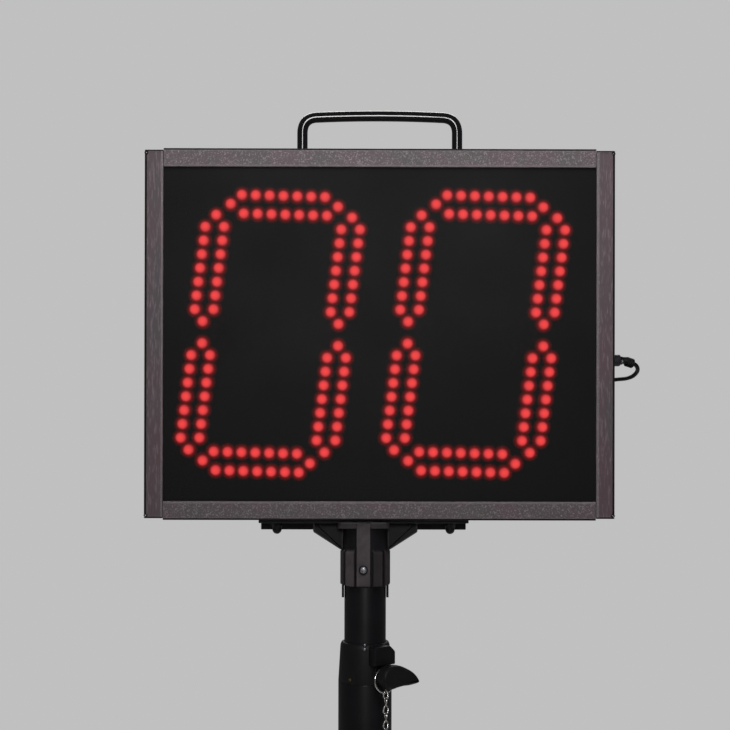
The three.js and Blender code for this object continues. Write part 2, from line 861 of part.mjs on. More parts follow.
function carryHandle() {
  const foot = caseHeight / 2 + clearance;
  const grip = foot + handleRise;
  const half = handleSpan / 2;
  const route = new THREE.CurvePath();
  const left = vec(-half, 0, grip - handleCorner);
  const right = vec(half, 0, grip - handleCorner);
  const shoulderLeft = vec(-half + handleCorner, 0, grip);
  const shoulderRight = vec(half - handleCorner, 0, grip);
  const crest = vec(0, 0, grip + 2 * handleBow);
  route.add(new THREE.LineCurve3(vec(-half, 0, foot), left));
  route.add(new THREE.QuadraticBezierCurve3(left, vec(-half, 0, grip), shoulderLeft));
  route.add(new THREE.QuadraticBezierCurve3(shoulderLeft, crest, shoulderRight));
  route.add(new THREE.QuadraticBezierCurve3(shoulderRight, vec(half, 0, grip), right));
  route.add(new THREE.LineCurve3(right, vec(half, 0, foot)));
  const ring = arc(0, 0, handleRodRadius, 0, 360 - 360 / smallSides, smallSides - 1);
  const bar = new THREE.ExtrudeGeometry(shapeOf(ring), {
    steps: handleSteps, bevelEnabled: false, extrudePath: route,
  });
  const cuts = [-1, 1].map((side) => rod(
    vec(side * half, 0, foot - overrun), vec(side * half, 0, foot + handleScrewReach + clearance),
    handleScrewRadius + clearance, smallSides,
  ));
  return carve([bar], cuts);
}

function handleScrew(side) {
  const seat = caseHeight / 2 - railWall - clearance;
  const outline = [
    [0, seat - handleScrewHeadHeight],
    [handleScrewHead, seat - handleScrewHeadHeight],
    [handleScrewHead, seat],
    [handleScrewRadius, seat],
    [handleScrewRadius, caseHeight / 2 + clearance + handleScrewReach],
    [0, caseHeight / 2 + clearance + handleScrewReach],
  ];
  const geometry = turned(outline, smallSides);
  geometry.translate(side * handleSpan / 2, 0, 0);
  return geometry;
}

// Pole bracket: heights are measured from the underside of the case

function bracketRib(turn, width, top) {
  const inner = socketBore + socketWall / 2;
  const outline = [
    [-inner, -bracketDepth],
    [-socketRadius - ribRise, -bracketDepth],
    [-socketRadius - ribRise, -top - ribSlope],
    [-inner, -top],
  ];
  const rib = beam(outline, -width / 2, width / 2);
  rib.rotateZ(THREE.MathUtils.degToRad(turn));
  return rib;
}

function bracketGusset(side) {
  const inner = socketBore + socketWall / 2;
  const outline = [
    [inner, -barThickness],
    [gussetReach, -barThickness],
    [gussetReach, -barFlange],
    [socketRadius + ribRise, -gussetDrop],
    [inner, -gussetDrop],
  ].map(([x, z]) => [side * x, z]);
  return slab(outline, -gussetThickness / 2, gussetThickness / 2);
}

function mountBracket() {
  const left = -barOffset - barLength / 2;
  const right = -barOffset + barLength / 2;
  const pad = padSize / 2;
  const padMiddle = -barOffset;
  const inBar = -clearance - barThickness / 2;
  const joined = [
    block(left, right, -barFront, barBack, -clearance - barThickness, -clearance),
    block(left, right, barBack - barThickness, barBack, -barFlange, inBar),
    block(padMiddle - pad, padMiddle + pad, -pad, pad, -padDepth, inBar),
    rod(vec(0, 0, -bracketDepth), vec(0, 0, inBar), socketRadius, tubeSides),
    bracketRib(ribTurn, frontRibWidth, padDepth - ribSlope),
  ];
  for (let i = 1; i < ribCount; i += 1) {
    joined.push(bracketRib(ribTurn + i * 360 / ribCount, ribWidth, ribTop));
  }
  for (const side of [-1, 1]) {
    const inner = side * socketBore;
    joined.push(bracketGusset(side));
    joined.push(block(
      inner, inner + side * tongueThickness, -tongueWidth / 2, tongueWidth / 2,
      -bracketDepth - tongueLength, -bracketDepth + tongueLength,
    ));
  }
  const turn = ribTurn - 90;
  const screwLevel = -bracketDepth + lockScrewRise;
  const cuts = [
    rod(vec(0, 0, -bracketDepth - tongueLength - overrun), vec(0, 0, -socketTop), socketBore, tubeSides),
    rod(polar(socketBore / 2, turn, screwLevel), polar(socketRadius + overrun, turn, screwLevel),
      lockScrewRadius + clearance, smallSides),
  ];
  for (const side of [-1, 1]) {
    const x = side * boltSpacing / 2 - barOffset;
    cuts.push(rod(
      vec(x, 0, -barThickness - overrun), vec(x, 0, overrun), boltRadius + clearance, smallSides,
    ));
  }
  return carve(joined, cuts);
}

// Bolt from the case with its domed cap nut under the bar
function bracketBolt(side) {
  const seat = -2 * clearance - barThickness;
  const low = seat - capNutLength;
  const outline = [
    [0, low],
    ...arc(0, low + capNutDome, capNutDome, -90, 0, edgeSteps).slice(1),
    [capNutDome, seat - capNutHeight],
    [capNutRadius, seat - capNutHeight],
    [capNutRadius, seat],
    [boltRadius, seat],
    [boltRadius, boltReach],
    [0, boltReach],
  ];
  const geometry = turned(outline, smallSides);
  geometry.translate(side * boltSpacing / 2 - barOffset, 0, 0);
  return geometry;
}

function socketScrew() {
  const turn = ribTurn - 90;
  const level = -bracketDepth + lockScrewRise;
  const face = socketRadius + ribRise + clearance;
  return carve([
    rod(polar(socketBore + clearance, turn, level), polar(face + lockScrewHeadHeight / 2, turn, level),
      lockScrewRadius, smallSides),
    rod(polar(face, turn, level), polar(face + lockScrewHeadHeight, turn, level),
      lockScrewHeadRadius, rodSides),
  ]);
}

// Pole tubes and clamp collar

function tube(radius, wall, low, high) {
  return turned([
    [radius - wall, low],
    [radius, low],
    [radius, high],
    [radius - wall, high],
    [radius - wall, low],
  ], tubeSides);
}

const upperTubeHigh = socketLow + bracketDepth - socketTop - clearance;
const upperTubeLow = upperTubeHigh - upperTubeLength;

function poleEndPlug() {
  const low = upperTubeLow - clearance;
  const high = low + plugTailHeight;
  return turned([
    [0, low - plugTailFloor],
    [spigotRadius, low - plugTailFloor],
    [spigotRadius, high],
    [upperTubeRadius + clearance, high],
    [upperTubeRadius + clearance, low],
    [0, low],
  ], tubeSides);
}

function clampCollar() {
  const low = lowerTubeTop + clearance;
  const body = turned([
    [socketBore - clearance, low - spigotLength],
    [spigotRadius, low - spigotLength],
    [spigotRadius, low],
    [collarRadius, low],
    [collarRadius, collarTop - collarChamfer],
    [collarRadius - collarChamfer / 2, collarTop],
    [socketBore - clearance, collarTop],
    [socketBore - clearance, low - spigotLength],
  ], tubeSides);
  const wide = lugWidth / 2;
  const lugHigh = collarTop - lugTop;
  const lug = slab([
    [-wide, lugHigh - lugHeight],
    [wide, lugHigh - lugHeight],
    [wide, lugHigh - lugChamfer],
    [wide - lugChamfer, lugHigh],
    [-wide, lugHigh],
  ], -lugReach, -socketBore);
  const knobLevel = collarTop - knobDrop;
  const boss = rod(vec(0, -socketBore, knobLevel), vec(0, -bossReach, knobLevel), bossRadius, rodSides);
  const below = low - spigotLength - overrun;
  const bore = rod(vec(0, 0, below), vec(0, 0, collarTop + overrun), socketBore, tubeSides);
  const screwHole = rod(
    vec(0, 0, knobLevel), vec(0, -bossReach - overrun, knobLevel), knobScrewRadius + clearance, rodSides,
  );
  const step = rod(
    vec(0, 0, low - spigotLength), vec(0, 0, low), lowerTubeRadius + overrun, tubeSides,
  );
  const keep = rod(vec(0, 0, below), vec(0, 0, low + overrun), spigotRadius, tubeSides);
  const skirt = geometryOf(solidOf(step).subtract(solidOf(keep)));
  return carve([body, lug, boss], [bore, screwHole, skirt]);
}

// Outline of the knob's one leaf as shares of its reach and of the hub's radius
const leafShares = [
  [0, -0.75],
  [0.33, -0.8],
  [0.57, -0.87],
  [0.87, -0.8],
  [0.98, -0.68],
  [0.87, -0.3],
  [0.69, 0.23],
  [0.45, 0.66],
  [0.18, 0.96],
  [0, 0.9],
];

function wingKnob() {
  const middle = (knobNeckEnd + knobHubEnd) / 2;
  const axis = (radius) => vec(0, -radius, 0);
  const leaf = leafShares.map(([out, up]) => [out * wingReach, up * knobHubRadius]);
  return carve([
    rod(axis(upperTubeRadius + clearance), axis(knobNeckEnd), knobScrewRadius, rodSides),
    rod(axis(bossReach + clearance), axis(knobNeckEnd + clearance), knobNeckRadius, rodSides),
    rod(axis(knobNeckEnd), axis(knobHubEnd), knobHubRadius, rodSides, knobHubRadius * knobTipShare),
    slab(leaf, -middle - wingThickness / 2, -middle + wingThickness / 2),
  ]);
}

const ringDrop = ringRadius - ringWire - knobNeckRadius - clearance;
const chainStart = -ringDrop - ringRadius;
const chainEnd = chainStart - chainLength;

// Upright oval link across X, about its own middle
function chainLink() {
  const outer = linkWidth / 2;
  const inner = outer - linkWire;
  const straight = linkLength / 2 - outer;
  const shape = shapeOf([
    ...arc(0, straight, outer, 0, 180, edgeSteps),
    ...arc(0, -straight, outer, 180, 360, edgeSteps),
  ]);
  shape.holes.push(new THREE.Path([
    ...arc(0, straight, inner, 180, 0, edgeSteps),
    ...arc(0, -straight, inner, 360, 180, edgeSteps),
  ].map(([a, b]) => new THREE.Vector2(a, b))));
  const link = new THREE.ExtrudeGeometry(shape, { depth: linkWire, bevelEnabled: false });
  link.translate(0, 0, -linkWire / 2);
  link.rotateX(Math.PI / 2);
  link.rotateZ(Math.PI / 2);
  return link;
}

// Ring on the knob's neck, the limp chain as one slender rod, and its last link, about the knob axis
function pinChain() {
  const ring = new THREE.TorusGeometry(ringRadius, ringWire, smallSides - 2, rodSides);
  ring.rotateX(Math.PI / 2);
  ring.translate(0, 0, -ringDrop);
  const run = rod(
    vec(0, 0, chainStart), vec(0, 0, chainEnd + linkLength - linkWire / 2), linkWidth / 3, smallSides,
  );
  const last = chainLink();
  last.translate(0, 0, chainEnd + linkLength / 2);
  return carve([ring, run, last]);
}

// Locking pin that hangs by its eye from the last link
function lockingPin() {
  const eye = chainEnd + linkWire + 2 * clearance - pinEyeHole;
  const ringOuter = arc(0, eye, pinEyeRadius, 0, 360 - 360 / rodSides, rodSides - 1);
  const plate = slab(ringOuter, -linkWire / 2, linkWire / 2);
  const hole = rod(vec(0, -overrun, eye), vec(0, overrun, eye), pinEyeHole, smallSides);
  const top = eye - pinEyeHole - linkWire / 2;
  const shank = turned([
    [0, top - pinLength],
    [pinRadius / 2, top - pinLength],
    [pinRadius, top - pinLength + pinRadius],
    [pinRadius, top],
    [0, top],
  ], rodSides);
  return carve([plate, shank], [hole]);
}

// Tripod: each leg and brace is drawn in the plane of X and Z, straight down or up from its hinge

function tripodLeg() {
  const half = legSize / 2;
  const inner = half - legWall;
  const bar = block(-half, half, -half, half, -legLength, half);
  const hollow = block(-inner, inner, -inner, inner, -legLength - overrun, half + overrun);
  const pinHole = rod(
    vec(0, -half - overrun, 0), vec(0, half + overrun, 0), legPinRadius + clearance, smallSides,
  );
  return carve([bar], [hollow, pinHole]);
}

// Rubber foot about the ball's middle, leg direction along +Z turned by the spread
function tripodFoot() {
  const half = legSize / 2 + clearance;
  const ball = new THREE.SphereGeometry(footRadius, ballSides, ballSides / 2 + 1);
  ball.rotateX(Math.PI / 2);
  const cup = rod(vec(0, 0, 0), vec(0, 0, footCupLength), footCupRadius, ballSides);
  const pocket = block(-half, half, -half, half, -clearance, footCupLength + overrun);
  for (const geometry of [cup, pocket]) {
    geometry.rotateY(-foldDrop);
  }
  const below = block(
    -footRadius - overrun, footRadius + overrun, -footRadius - overrun, footRadius + overrun,
    -footFlat - overrun, -footFlat,
  );
  return carve([ball, cup], [pocket, below]);
}

const braceFar = vec(
  legHinge + braceJoin * Math.sin(foldDrop), 0, legHingeRise - braceJoin * Math.cos(foldDrop),
);
const braceSpan = Math.hypot(braceFar.x - braceHinge, braceFar.z - braceHingeRise);
const braceLean = Math.atan2(braceFar.x - braceHinge, braceFar.z - braceHingeRise);

// Two straps that pass either side of the leg, on one cross pin at the hub
function legBrace() {
  const inner = legSize / 2 + hingePlay;
  const outer = inner + braceThickness;
  const round = braceWidth / 2;
  const outline = [
    ...arc(0, 0, round, 180, 360, 2 * edgeSteps),
    ...arc(0, braceSpan, round, 0, 180, 2 * edgeSteps),
  ];
  const straps = [slab(outline, inner, outer), slab(outline, -outer, -inner)];
  const pin = rod(
    vec(0, -outer + braceThickness / 2, 0), vec(0, outer - braceThickness / 2, 0), bracePinRadius, rodSides,
  );
  return carve([...straps, pin]);
}

function legCollar() {
  const bore = lowerTubeRadius + clearance;
  const low = legHingeRise - slideDrop;
  const high = low + slideHeight;
  const joined = [tube(slideRadius, slideRadius - bore, low, high)];
  const half = legSize / 2 + hingePlay;
  for (const turn of legTurns) {
    const angle = THREE.MathUtils.degToRad(turn);
    for (const side of [-1, 1]) {
      const ear = slab([
        [bore + (slideRadius - bore) / 2, legHingeRise - earRadius],
        ...arc(legHinge, legHingeRise, earRadius, -90, 90, edgeSteps),
        [bore + (slideRadius - bore) / 2, legHingeRise + earRadius],
      ], side > 0 ? half : -half - earThickness, side > 0 ? half + earThickness : -half);
      ear.rotateZ(angle);
      joined.push(ear);
    }
    const pinEnd = half + earThickness / 2;
    const pin = rod(
      vec(legHinge, -pinEnd, legHingeRise), vec(legHinge, pinEnd, legHingeRise), legPinRadius, smallSides,
    );
    pin.rotateZ(angle);
    joined.push(pin);
  }
  const boss = rod(
    vec(0, -bore - (slideRadius - bore) / 2, legHingeRise), vec(0, -slideKnobStart + clearance, legHingeRise),
    slideKnobStem * 2, rodSides,
  );
  joined.push(boss);
  const screwHole = rod(
    vec(0, 0, legHingeRise), vec(0, -slideKnobStart - overrun, legHingeRise),
    slideKnobStem + clearance, rodSides,
  );
  const clear = rod(vec(0, 0, low - overrun), vec(0, 0, high + overrun), bore, tubeSides);
  return carve(joined, [screwHole, clear]);
}

function collarKnob() {
  const lobes = [];
  for (let i = 0; i < slideKnobLobes * 2; i += 1) {
    const radius = slideKnobRadius - i % 2 * slideKnobGroove;
    const spot = polar(radius, i * 180 / slideKnobLobes, 0);
    lobes.push([spot.x, spot.y]);
  }
  const grip = slab(lobes, -slideKnobStart - slideKnobLength, -slideKnobStart - clearance);
  const stem = rod(
    vec(0, -lowerTubeRadius - 2 * clearance, 0), vec(0, -slideKnobStart - slideKnobLength / 2, 0),
    slideKnobStem, rodSides,
  );
  return carve([grip, stem]);
}

const hubLow = braceHingeRise - hubHeight / 2;
const lowerTubeLow = hubLow + hubFloor + clearance;

function baseHub() {
  const bore = lowerTubeRadius + clearance;
  const cup = turned([
    [0, hubLow],
    [hubRadius, hubLow],
    [hubRadius, hubLow + hubHeight],
    [bore, hubLow + hubHeight],
    [bore, hubLow + hubFloor],
    [0, hubLow + hubFloor],
  ], tubeSides);
  const joined = [cup];
  const cuts = [];
  const half = legSize / 2;
  for (const turn of legTurns) {
    const angle = THREE.MathUtils.degToRad(turn);
    const tongue = slab([
      [bore + (hubRadius - bore) / 2, braceHingeRise - hubTongueRadius],
      ...arc(braceHinge, braceHingeRise, hubTongueRadius, -90, 90, edgeSteps),
      [bore + (hubRadius - bore) / 2, braceHingeRise + hubTongueRadius],
    ], -half, half);
    const hole = rod(
      vec(braceHinge, -half - overrun, braceHingeRise), vec(braceHinge, half + overrun, braceHingeRise),
      bracePinRadius + clearance, rodSides,
    );
    tongue.rotateZ(angle);
    hole.rotateZ(angle);
    joined.push(tongue);
    cuts.push(hole);
  }
  return carve(joined, cuts);
}

// Assembly

function piece(name, geometry, material, parent) {
  const mesh = new THREE.Mesh(geometry, material);
  mesh.name = name;
  parent.add(mesh);
  return mesh;
}

function placed(parent, x, y, z, turn = 0) {
  const group = new THREE.Group();
  group.position.set(x, y, z);
  group.rotation.z = THREE.MathUtils.degToRad(turn);
  parent.add(group);
  return group;
}

function addHead(stand) {
  const head = placed(stand, caseOffset, 0, caseMiddle);
  const handleHoles = [-1, 1].map((side) => [side * handleSpan / 2, handleScrewRadius + clearance]);
  const boltMiddle = -barOffset - caseOffset;
  const boltHoles = [-1, 1].map((side) => [boltMiddle + side * boltSpacing / 2, boltRadius + clearance]);
  piece('left_rail', sideRail(-1), sandedAluminium, head);
  piece('right_rail', sideRail(1), sandedAluminium, head);
  piece('top_rail', levelRail(1, handleHoles), sandedAluminium, head);
  piece('bottom_rail', levelRail(-1, boltHoles), sandedAluminium, head);
  piece('front_filter', frontFilter(), smokedAcrylic, head);
  for (const [name, side] of [['left', -1], ['right', 1]]) {
    piece(`${name}_digit_board`, digitBoard(side), blackBoard, head);
    for (const letter of Object.keys(segmentShares)) {
      piece(`${name}_segment_${letter}`, ledSegment(side, letter), redLens, head);
    }
    piece(`handle_screw_${name}`, handleScrew(side), brightSteel, head);
  }
  piece('inner_tray', innerTray(), bareSheet, head);
  piece('controller_board', controllerBoard(), greenBoard, head);
  piece('radio_module', radioModule(), greenBoard, head);
  piece('horn', horn(), blackPlastic, head);
  piece('rear_cover', rearCover(), sandedAluminium, head);
  piece('battery_box', batteryBox(), blackPlastic, head);
  piece('battery_pack', batteryPack(), cellWrap, head);
  piece('lead_gland', leadGland(), blackPlastic, head);
  piece('side_socket', sideSocket(), brightSteel, head);
  piece('lead_plug', leadPlug(), blackPlastic, head);
  piece('supply_lead', supplyLead(), blackRubber, head);
  piece('carry_handle', carryHandle(), blackEnamel, head);
  const switchSpot = placed(head, switchX, 0, 0);
  piece('switch_frame', switchFrame(), blackPlastic, switchSpot);
  const rocker = piece('power_rocker', powerRocker(), blackPlastic, switchSpot);
  rocker.position.y = coverBack + clearance;
  rocker.rotation.x = THREE.MathUtils.degToRad(rockerTilt);
}

function addBracket(stand) {
  const bracket = placed(stand, 0, 0, caseLow);
  piece('mount_bracket', mountBracket(), castPlastic, bracket);
  piece('bracket_bolt_left', bracketBolt(-1), brightSteel, bracket);
  piece('bracket_bolt_right', bracketBolt(1), brightSteel, bracket);
  piece('socket_screw', socketScrew(), brightSteel, bracket);
}

function addPole(stand) {
  piece('upper_tube', tube(upperTubeRadius, upperTubeWall, upperTubeLow, upperTubeHigh), blackEnamel, stand);
  piece('pole_end_plug', poleEndPlug(), blackPlastic, stand);
  piece('lower_tube', tube(lowerTubeRadius, lowerTubeWall, lowerTubeLow, lowerTubeTop), blackEnamel, stand);
  const turned = placed(stand, 0, 0, 0, knobTurn);
  piece('clamp_collar', clampCollar(), blackPlastic, turned);
  const knob = placed(turned, 0, 0, collarTop - knobDrop);
  piece('wing_knob', wingKnob(), blackPlastic, knob);
  const hanging = placed(knob, 0, -ringPlace, 0);
  piece('pin_chain', pinChain(), brightSteel, hanging);
  piece('locking_pin', lockingPin(), brightSteel, hanging);
}

function addTripod(stand) {
  piece('base_hub', baseHub(), blackPlastic, stand);
  piece('leg_collar', legCollar(), blackPlastic, stand);
  const knob = placed(stand, 0, 0, legHingeRise);
  piece('collar_knob', collarKnob(), blackPlastic, knob);
  legTurns.forEach((turn, i) => {
    const side = placed(stand, 0, 0, 0, turn);
    const leg = piece(`leg_${i + 1}`, tripodLeg(), blackEnamel, side);
    leg.position.set(legHinge, 0, legHingeRise);
    leg.rotation.y = -foldDrop;
    const foot = piece(`foot_${i + 1}`, tripodFoot(), blackRubber, side);
    foot.position.set(stanceRadius, 0, footFlat);
    const brace = piece(`brace_${i + 1}`, legBrace(), blackEnamel, side);
    brace.position.set(braceHinge, 0, braceHingeRise);
    brace.rotation.y = braceLean;
  });
}

const shotClock = new THREE.Group();
const stand = placed(shotClock, 0, stanceShift, 0);
addHead(stand);
addBracket(stand);
addPole(stand);
addTripod(stand);

export default shotClock;
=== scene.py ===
"""Portable two-digit shot clock on its tripod pole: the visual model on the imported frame."""
import json
import math

import bmesh
import bpy
import numpy as np
from mathutils import Matrix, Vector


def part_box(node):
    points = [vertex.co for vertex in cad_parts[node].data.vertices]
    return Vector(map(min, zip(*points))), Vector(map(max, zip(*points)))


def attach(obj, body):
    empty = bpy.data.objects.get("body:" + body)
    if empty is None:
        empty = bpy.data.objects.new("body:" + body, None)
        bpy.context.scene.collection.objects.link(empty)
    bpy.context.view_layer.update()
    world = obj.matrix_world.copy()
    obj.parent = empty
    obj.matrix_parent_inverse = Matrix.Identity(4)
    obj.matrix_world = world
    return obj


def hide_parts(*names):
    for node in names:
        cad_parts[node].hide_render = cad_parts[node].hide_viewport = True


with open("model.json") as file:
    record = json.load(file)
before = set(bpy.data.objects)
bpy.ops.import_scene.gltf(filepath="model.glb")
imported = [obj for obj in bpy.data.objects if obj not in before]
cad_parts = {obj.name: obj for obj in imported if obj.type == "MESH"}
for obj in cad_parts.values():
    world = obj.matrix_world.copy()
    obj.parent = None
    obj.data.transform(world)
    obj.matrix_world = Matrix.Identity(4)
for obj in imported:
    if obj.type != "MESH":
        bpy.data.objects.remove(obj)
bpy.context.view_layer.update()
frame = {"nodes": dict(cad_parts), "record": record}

scene = bpy.context.scene

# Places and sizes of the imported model, in millimetres
MM = 0.001
POLE = np.array([0, -106.535, 0])
HEAD = POLE + [11.5, 0, 898]
BRACKET = POLE + [0, 0, 744]
RIGHT, BACK, UP = np.eye(3)


# Shapes: every function works in millimetres on whole arrays

def once_round(sides):
    """Angles once round in equal steps."""
    return np.arange(sides) * 2 * math.pi / sides


def spoke(degrees):
    """Directions away from the pole and across, at an angle round it."""
    a = math.radians(degrees)
    return np.array([math.cos(a), math.sin(a), 0]), np.array([-math.sin(a), math.cos(a), 0])


def ring(radius, sides):
    """Circle: (radius cos t, radius sin t) for t once round."""
    t = once_round(sides)
    return np.stack([radius * np.cos(t), radius * np.sin(t)], axis=-1)


def bend(across, out, radius, start, end, steps=3):
    """Arc about a centre from one angle to another, in degrees."""
    a = np.radians(np.linspace(start, end, steps + 1))
    return np.column_stack([across + radius * np.cos(a), out + radius * np.sin(a)])


def quadratic(start, middle, end, t):
    """Curves (1 - t)^2 start + 2 t (1 - t) middle + t^2 end, one after the other."""
    start, middle, end = (part[:, None] for part in (start, middle, end))
    t = t[None, :, None]
    return ((1 - t) ** 2 * start + 2 * t * (1 - t) * middle + t ** 2 * end).reshape(-1, 2)


def rounded(corners, radius, steps=4):
    """Outline whose corners are rounded: a quadratic curve leaves each edge a given way before its
    corner and joins the next edge the same way after it, with the corner as its middle handle."""
    corners = np.asarray(corners, float)
    before = np.roll(corners, 1, axis=0) - corners
    after = np.roll(corners, -1, axis=0) - corners
    long_before = np.linalg.norm(before, axis=1)
    long_after = np.linalg.norm(after, axis=1)
    way = np.minimum(radius, 0.49 * np.minimum(long_before, long_after))
    start = corners + before * (way / long_before)[:, None]
    end = corners + after * (way / long_after)[:, None]
    return quadratic(start, corners, end, np.linspace(0, 1, steps + 1))


def inset(outline, way):
    """Outline moved inwards by a distance: each point goes along the mean of its two edges' normals,
    further at a sharper corner, up to a limit."""
    onward = np.roll(outline, -1, axis=0)
    sense = np.sign(np.sum(outline[:, 0] * onward[:, 1] - outline[:, 1] * onward[:, 0]))
    edge = onward - outline
    edge /= np.maximum(np.linalg.norm(edge, axis=1, keepdims=True), 1e-9)
    normal = sense * np.stack([-edge[:, 1], edge[:, 0]], axis=-1)
    both = normal + np.roll(normal, 1, axis=0)
    square = np.sum(both * normal, axis=1, keepdims=True)
    return outline + way * both / np.maximum(square, 0.5)


def slab(outline, low, high, rim, steps=3):
    """Solid between two levels with rounded edges: ring i is the outline inset by rim (1 - sin a) and
    lifted by rim (1 - cos a), a from 0 to a quarter turn, and the same mirrored at the upper level."""
    lower = []
    for a in np.linspace(0, math.pi / 2, steps + 1):
        level = np.full(len(outline), low + rim * (1 - math.cos(a)))
        lower.append(np.column_stack([inset(outline, rim * (1 - math.sin(a))), level]))
    upper = [np.column_stack([part[:, :2], low + high - part[:, 2]]) for part in reversed(lower)]
    return np.array(lower + upper)


def revolved(profile, sides=48, rows=slice(0), scale=1.0):
    """Solid of revolution: point (r, h) of the profile becomes (r cos t, r sin t, h) for t once round.
    In the given rows of the profile the radius is multiplied by scale, one number for each angle."""
    profile = np.asarray(profile, float)
    t = once_round(sides)
    radius, height = profile.T[:, :, None] * np.ones(sides)
    radius[rows] *= scale
    return np.stack([radius * np.cos(t), radius * np.sin(t), height], axis=-1)


def hexagon(sides):
    """Share of the corner radius at which a hexagon's edge lies, for each angle once round."""
    return math.cos(math.pi / 6) / np.cos(once_round(sides) % (math.pi / 3) - math.pi / 6)


def carried(path, outline, lift=UP, direction=None):
    """Outline carried along a path: at each point it stands in the plane square to the path's direction,
    its first axis along direction x lift and its second across both."""
    if direction is None:
        direction = np.gradient(path, axis=0)
    direction = direction / np.linalg.norm(direction, axis=1, keepdims=True)
    side = np.cross(direction, lift)
    side /= np.linalg.norm(side, axis=1, keepdims=True)
    over = np.cross(side, direction)
    return path[:, None] + outline[None, :, 0:1] * side[:, None] + outline[None, :, 1:2] * over[:, None]


def skin(grid, looped=False):
    """Closed surface over a grid of points whose columns run in a ring. Each end gets one flat face, or
    a fan where its row is a single point; with looped the last row joins the first instead."""
    poles = [not looped and np.ptp(grid[row], axis=0).max() < 1e-6 for row in (0, -1)]
    body = grid[int(poles[0]):len(grid) - int(poles[1])]
    index = np.arange(body.shape[0] * body.shape[1]).reshape(body.shape[:2])
    bands = len(index) if looped else len(index) - 1
    lower, upper = index[:bands], np.roll(index, -1, axis=0)[:bands]
    quads = np.stack([lower, np.roll(lower, -1, axis=1), np.roll(upper, -1, axis=1), upper], axis=-1)
    points, faces = [body.reshape(-1, 3)], quads.reshape(-1, 4).tolist()
    ends = () if looped else ((0, index[0][::-1]), (1, index[-1]))
    for end, row in ends:
        if poles[end]:
            centre = sum(len(part) for part in points)
            points.append(grid[-end][:1])
            faces += np.stack([row, np.roll(row, -1), np.full(len(row), centre)], axis=-1).tolist()
        else:
            faces.append(row.tolist())
    return np.concatenate(points), faces


def looped_tube(route, radius):
    """Circle carried round a closed route, its direction taken from the neighbours on both sides and
    its first axis turned away from the route's middle."""
    direction = np.roll(route, -1, axis=0) - np.roll(route, 1, axis=0)
    lift = np.cross(route - route.mean(axis=0), direction)
    return skin(carried(route, ring(radius, 12), lift, direction), True)


def laid(surface, origin, x_axis, y_axis):
    """Surface moved into place: its own axes become x_axis, y_axis and their cross product."""
    points, faces = surface
    basis = np.array([x_axis, y_axis, np.cross(x_axis, y_axis)], float)
    return points @ basis + np.asarray(origin, float), faces


def along(surface, origin, direction, side=None):
    """Surface whose own Z axis becomes the direction, and its X axis the side where one is given."""
    direction = np.asarray(direction, float) / np.linalg.norm(direction)
    if side is None:
        side = np.cross(direction, UP if abs(direction[2]) < 0.9 else BACK)
    side = np.asarray(side, float) / np.linalg.norm(side)
    return laid(surface, origin, side, np.cross(direction, side))


def plate(outline, low, high, rim, origin, x_axis, y_axis, steps=3):
    """Rounded slab moved into place."""
    return laid(skin(slab(outline, low, high, rim, steps)), origin, x_axis, y_axis)


def turned(profile, origin, direction, sides=48, rows=slice(0), scale=1.0, side=None):
    """Solid of revolution about a direction."""
    return along(skin(revolved(profile, sides, rows, scale)), origin, direction, side)


def sleeve(outline):
    """Closed outline of radius and level, turned once round the pole."""
    return laid(skin(revolved(outline, 96), True), POLE, RIGHT, BACK)


def smooth_route(points, steps):
    """Centripetal Catmull-Rom curve: knots stand apart by the square root of each chord, and three
    rounds of straight mixing between knots give each point."""
    p = np.vstack([2 * points[0] - points[1], points, 2 * points[-1] - points[-2]])
    gaps = np.sqrt(np.linalg.norm(np.diff(p, axis=0), axis=1))
    knots = np.concatenate([[0], np.cumsum(gaps)])
    i = np.arange(1, len(p) - 2)[:, None]
    t = knots[i] + np.linspace(0, 1, steps, endpoint=False) * gaps[i]

    def mix(a, b, low, high):
        share = ((t - knots[low]) / (knots[high] - knots[low]))[..., None]
        return (1 - share) * a + share * b

    first = mix(p[i - 1], p[i], i - 1, i)
    second = mix(p[i], p[i + 1], i, i + 1)
    third = mix(p[i + 1], p[i + 2], i + 1, i + 2)
    curve = mix(mix(first, second, i - 1, i + 1), mix(second, third, i, i + 2), i, i + 1)
    return np.vstack([curve.reshape(-1, 3), p[-2]])


def smooth_loop(points, steps):
    """Closed Catmull-Rom curve in the plane: the route runs on past both ends, and only one turn is kept."""
    flat = np.column_stack([points, np.zeros(len(points))])
    curve = smooth_route(np.vstack([flat[-2:], flat, flat[:2]]), steps)
    return curve[2 * steps:(2 + len(points)) * steps, :2]


def linked(name, data):
    """Object of the scene for a mesh, a camera or a lamp."""
    made = bpy.data.objects.new(name, data)
    scene.collection.objects.link(made)
    return made


# Edges that turn more than this stay sharp in the shading
CREASE = math.radians(38)


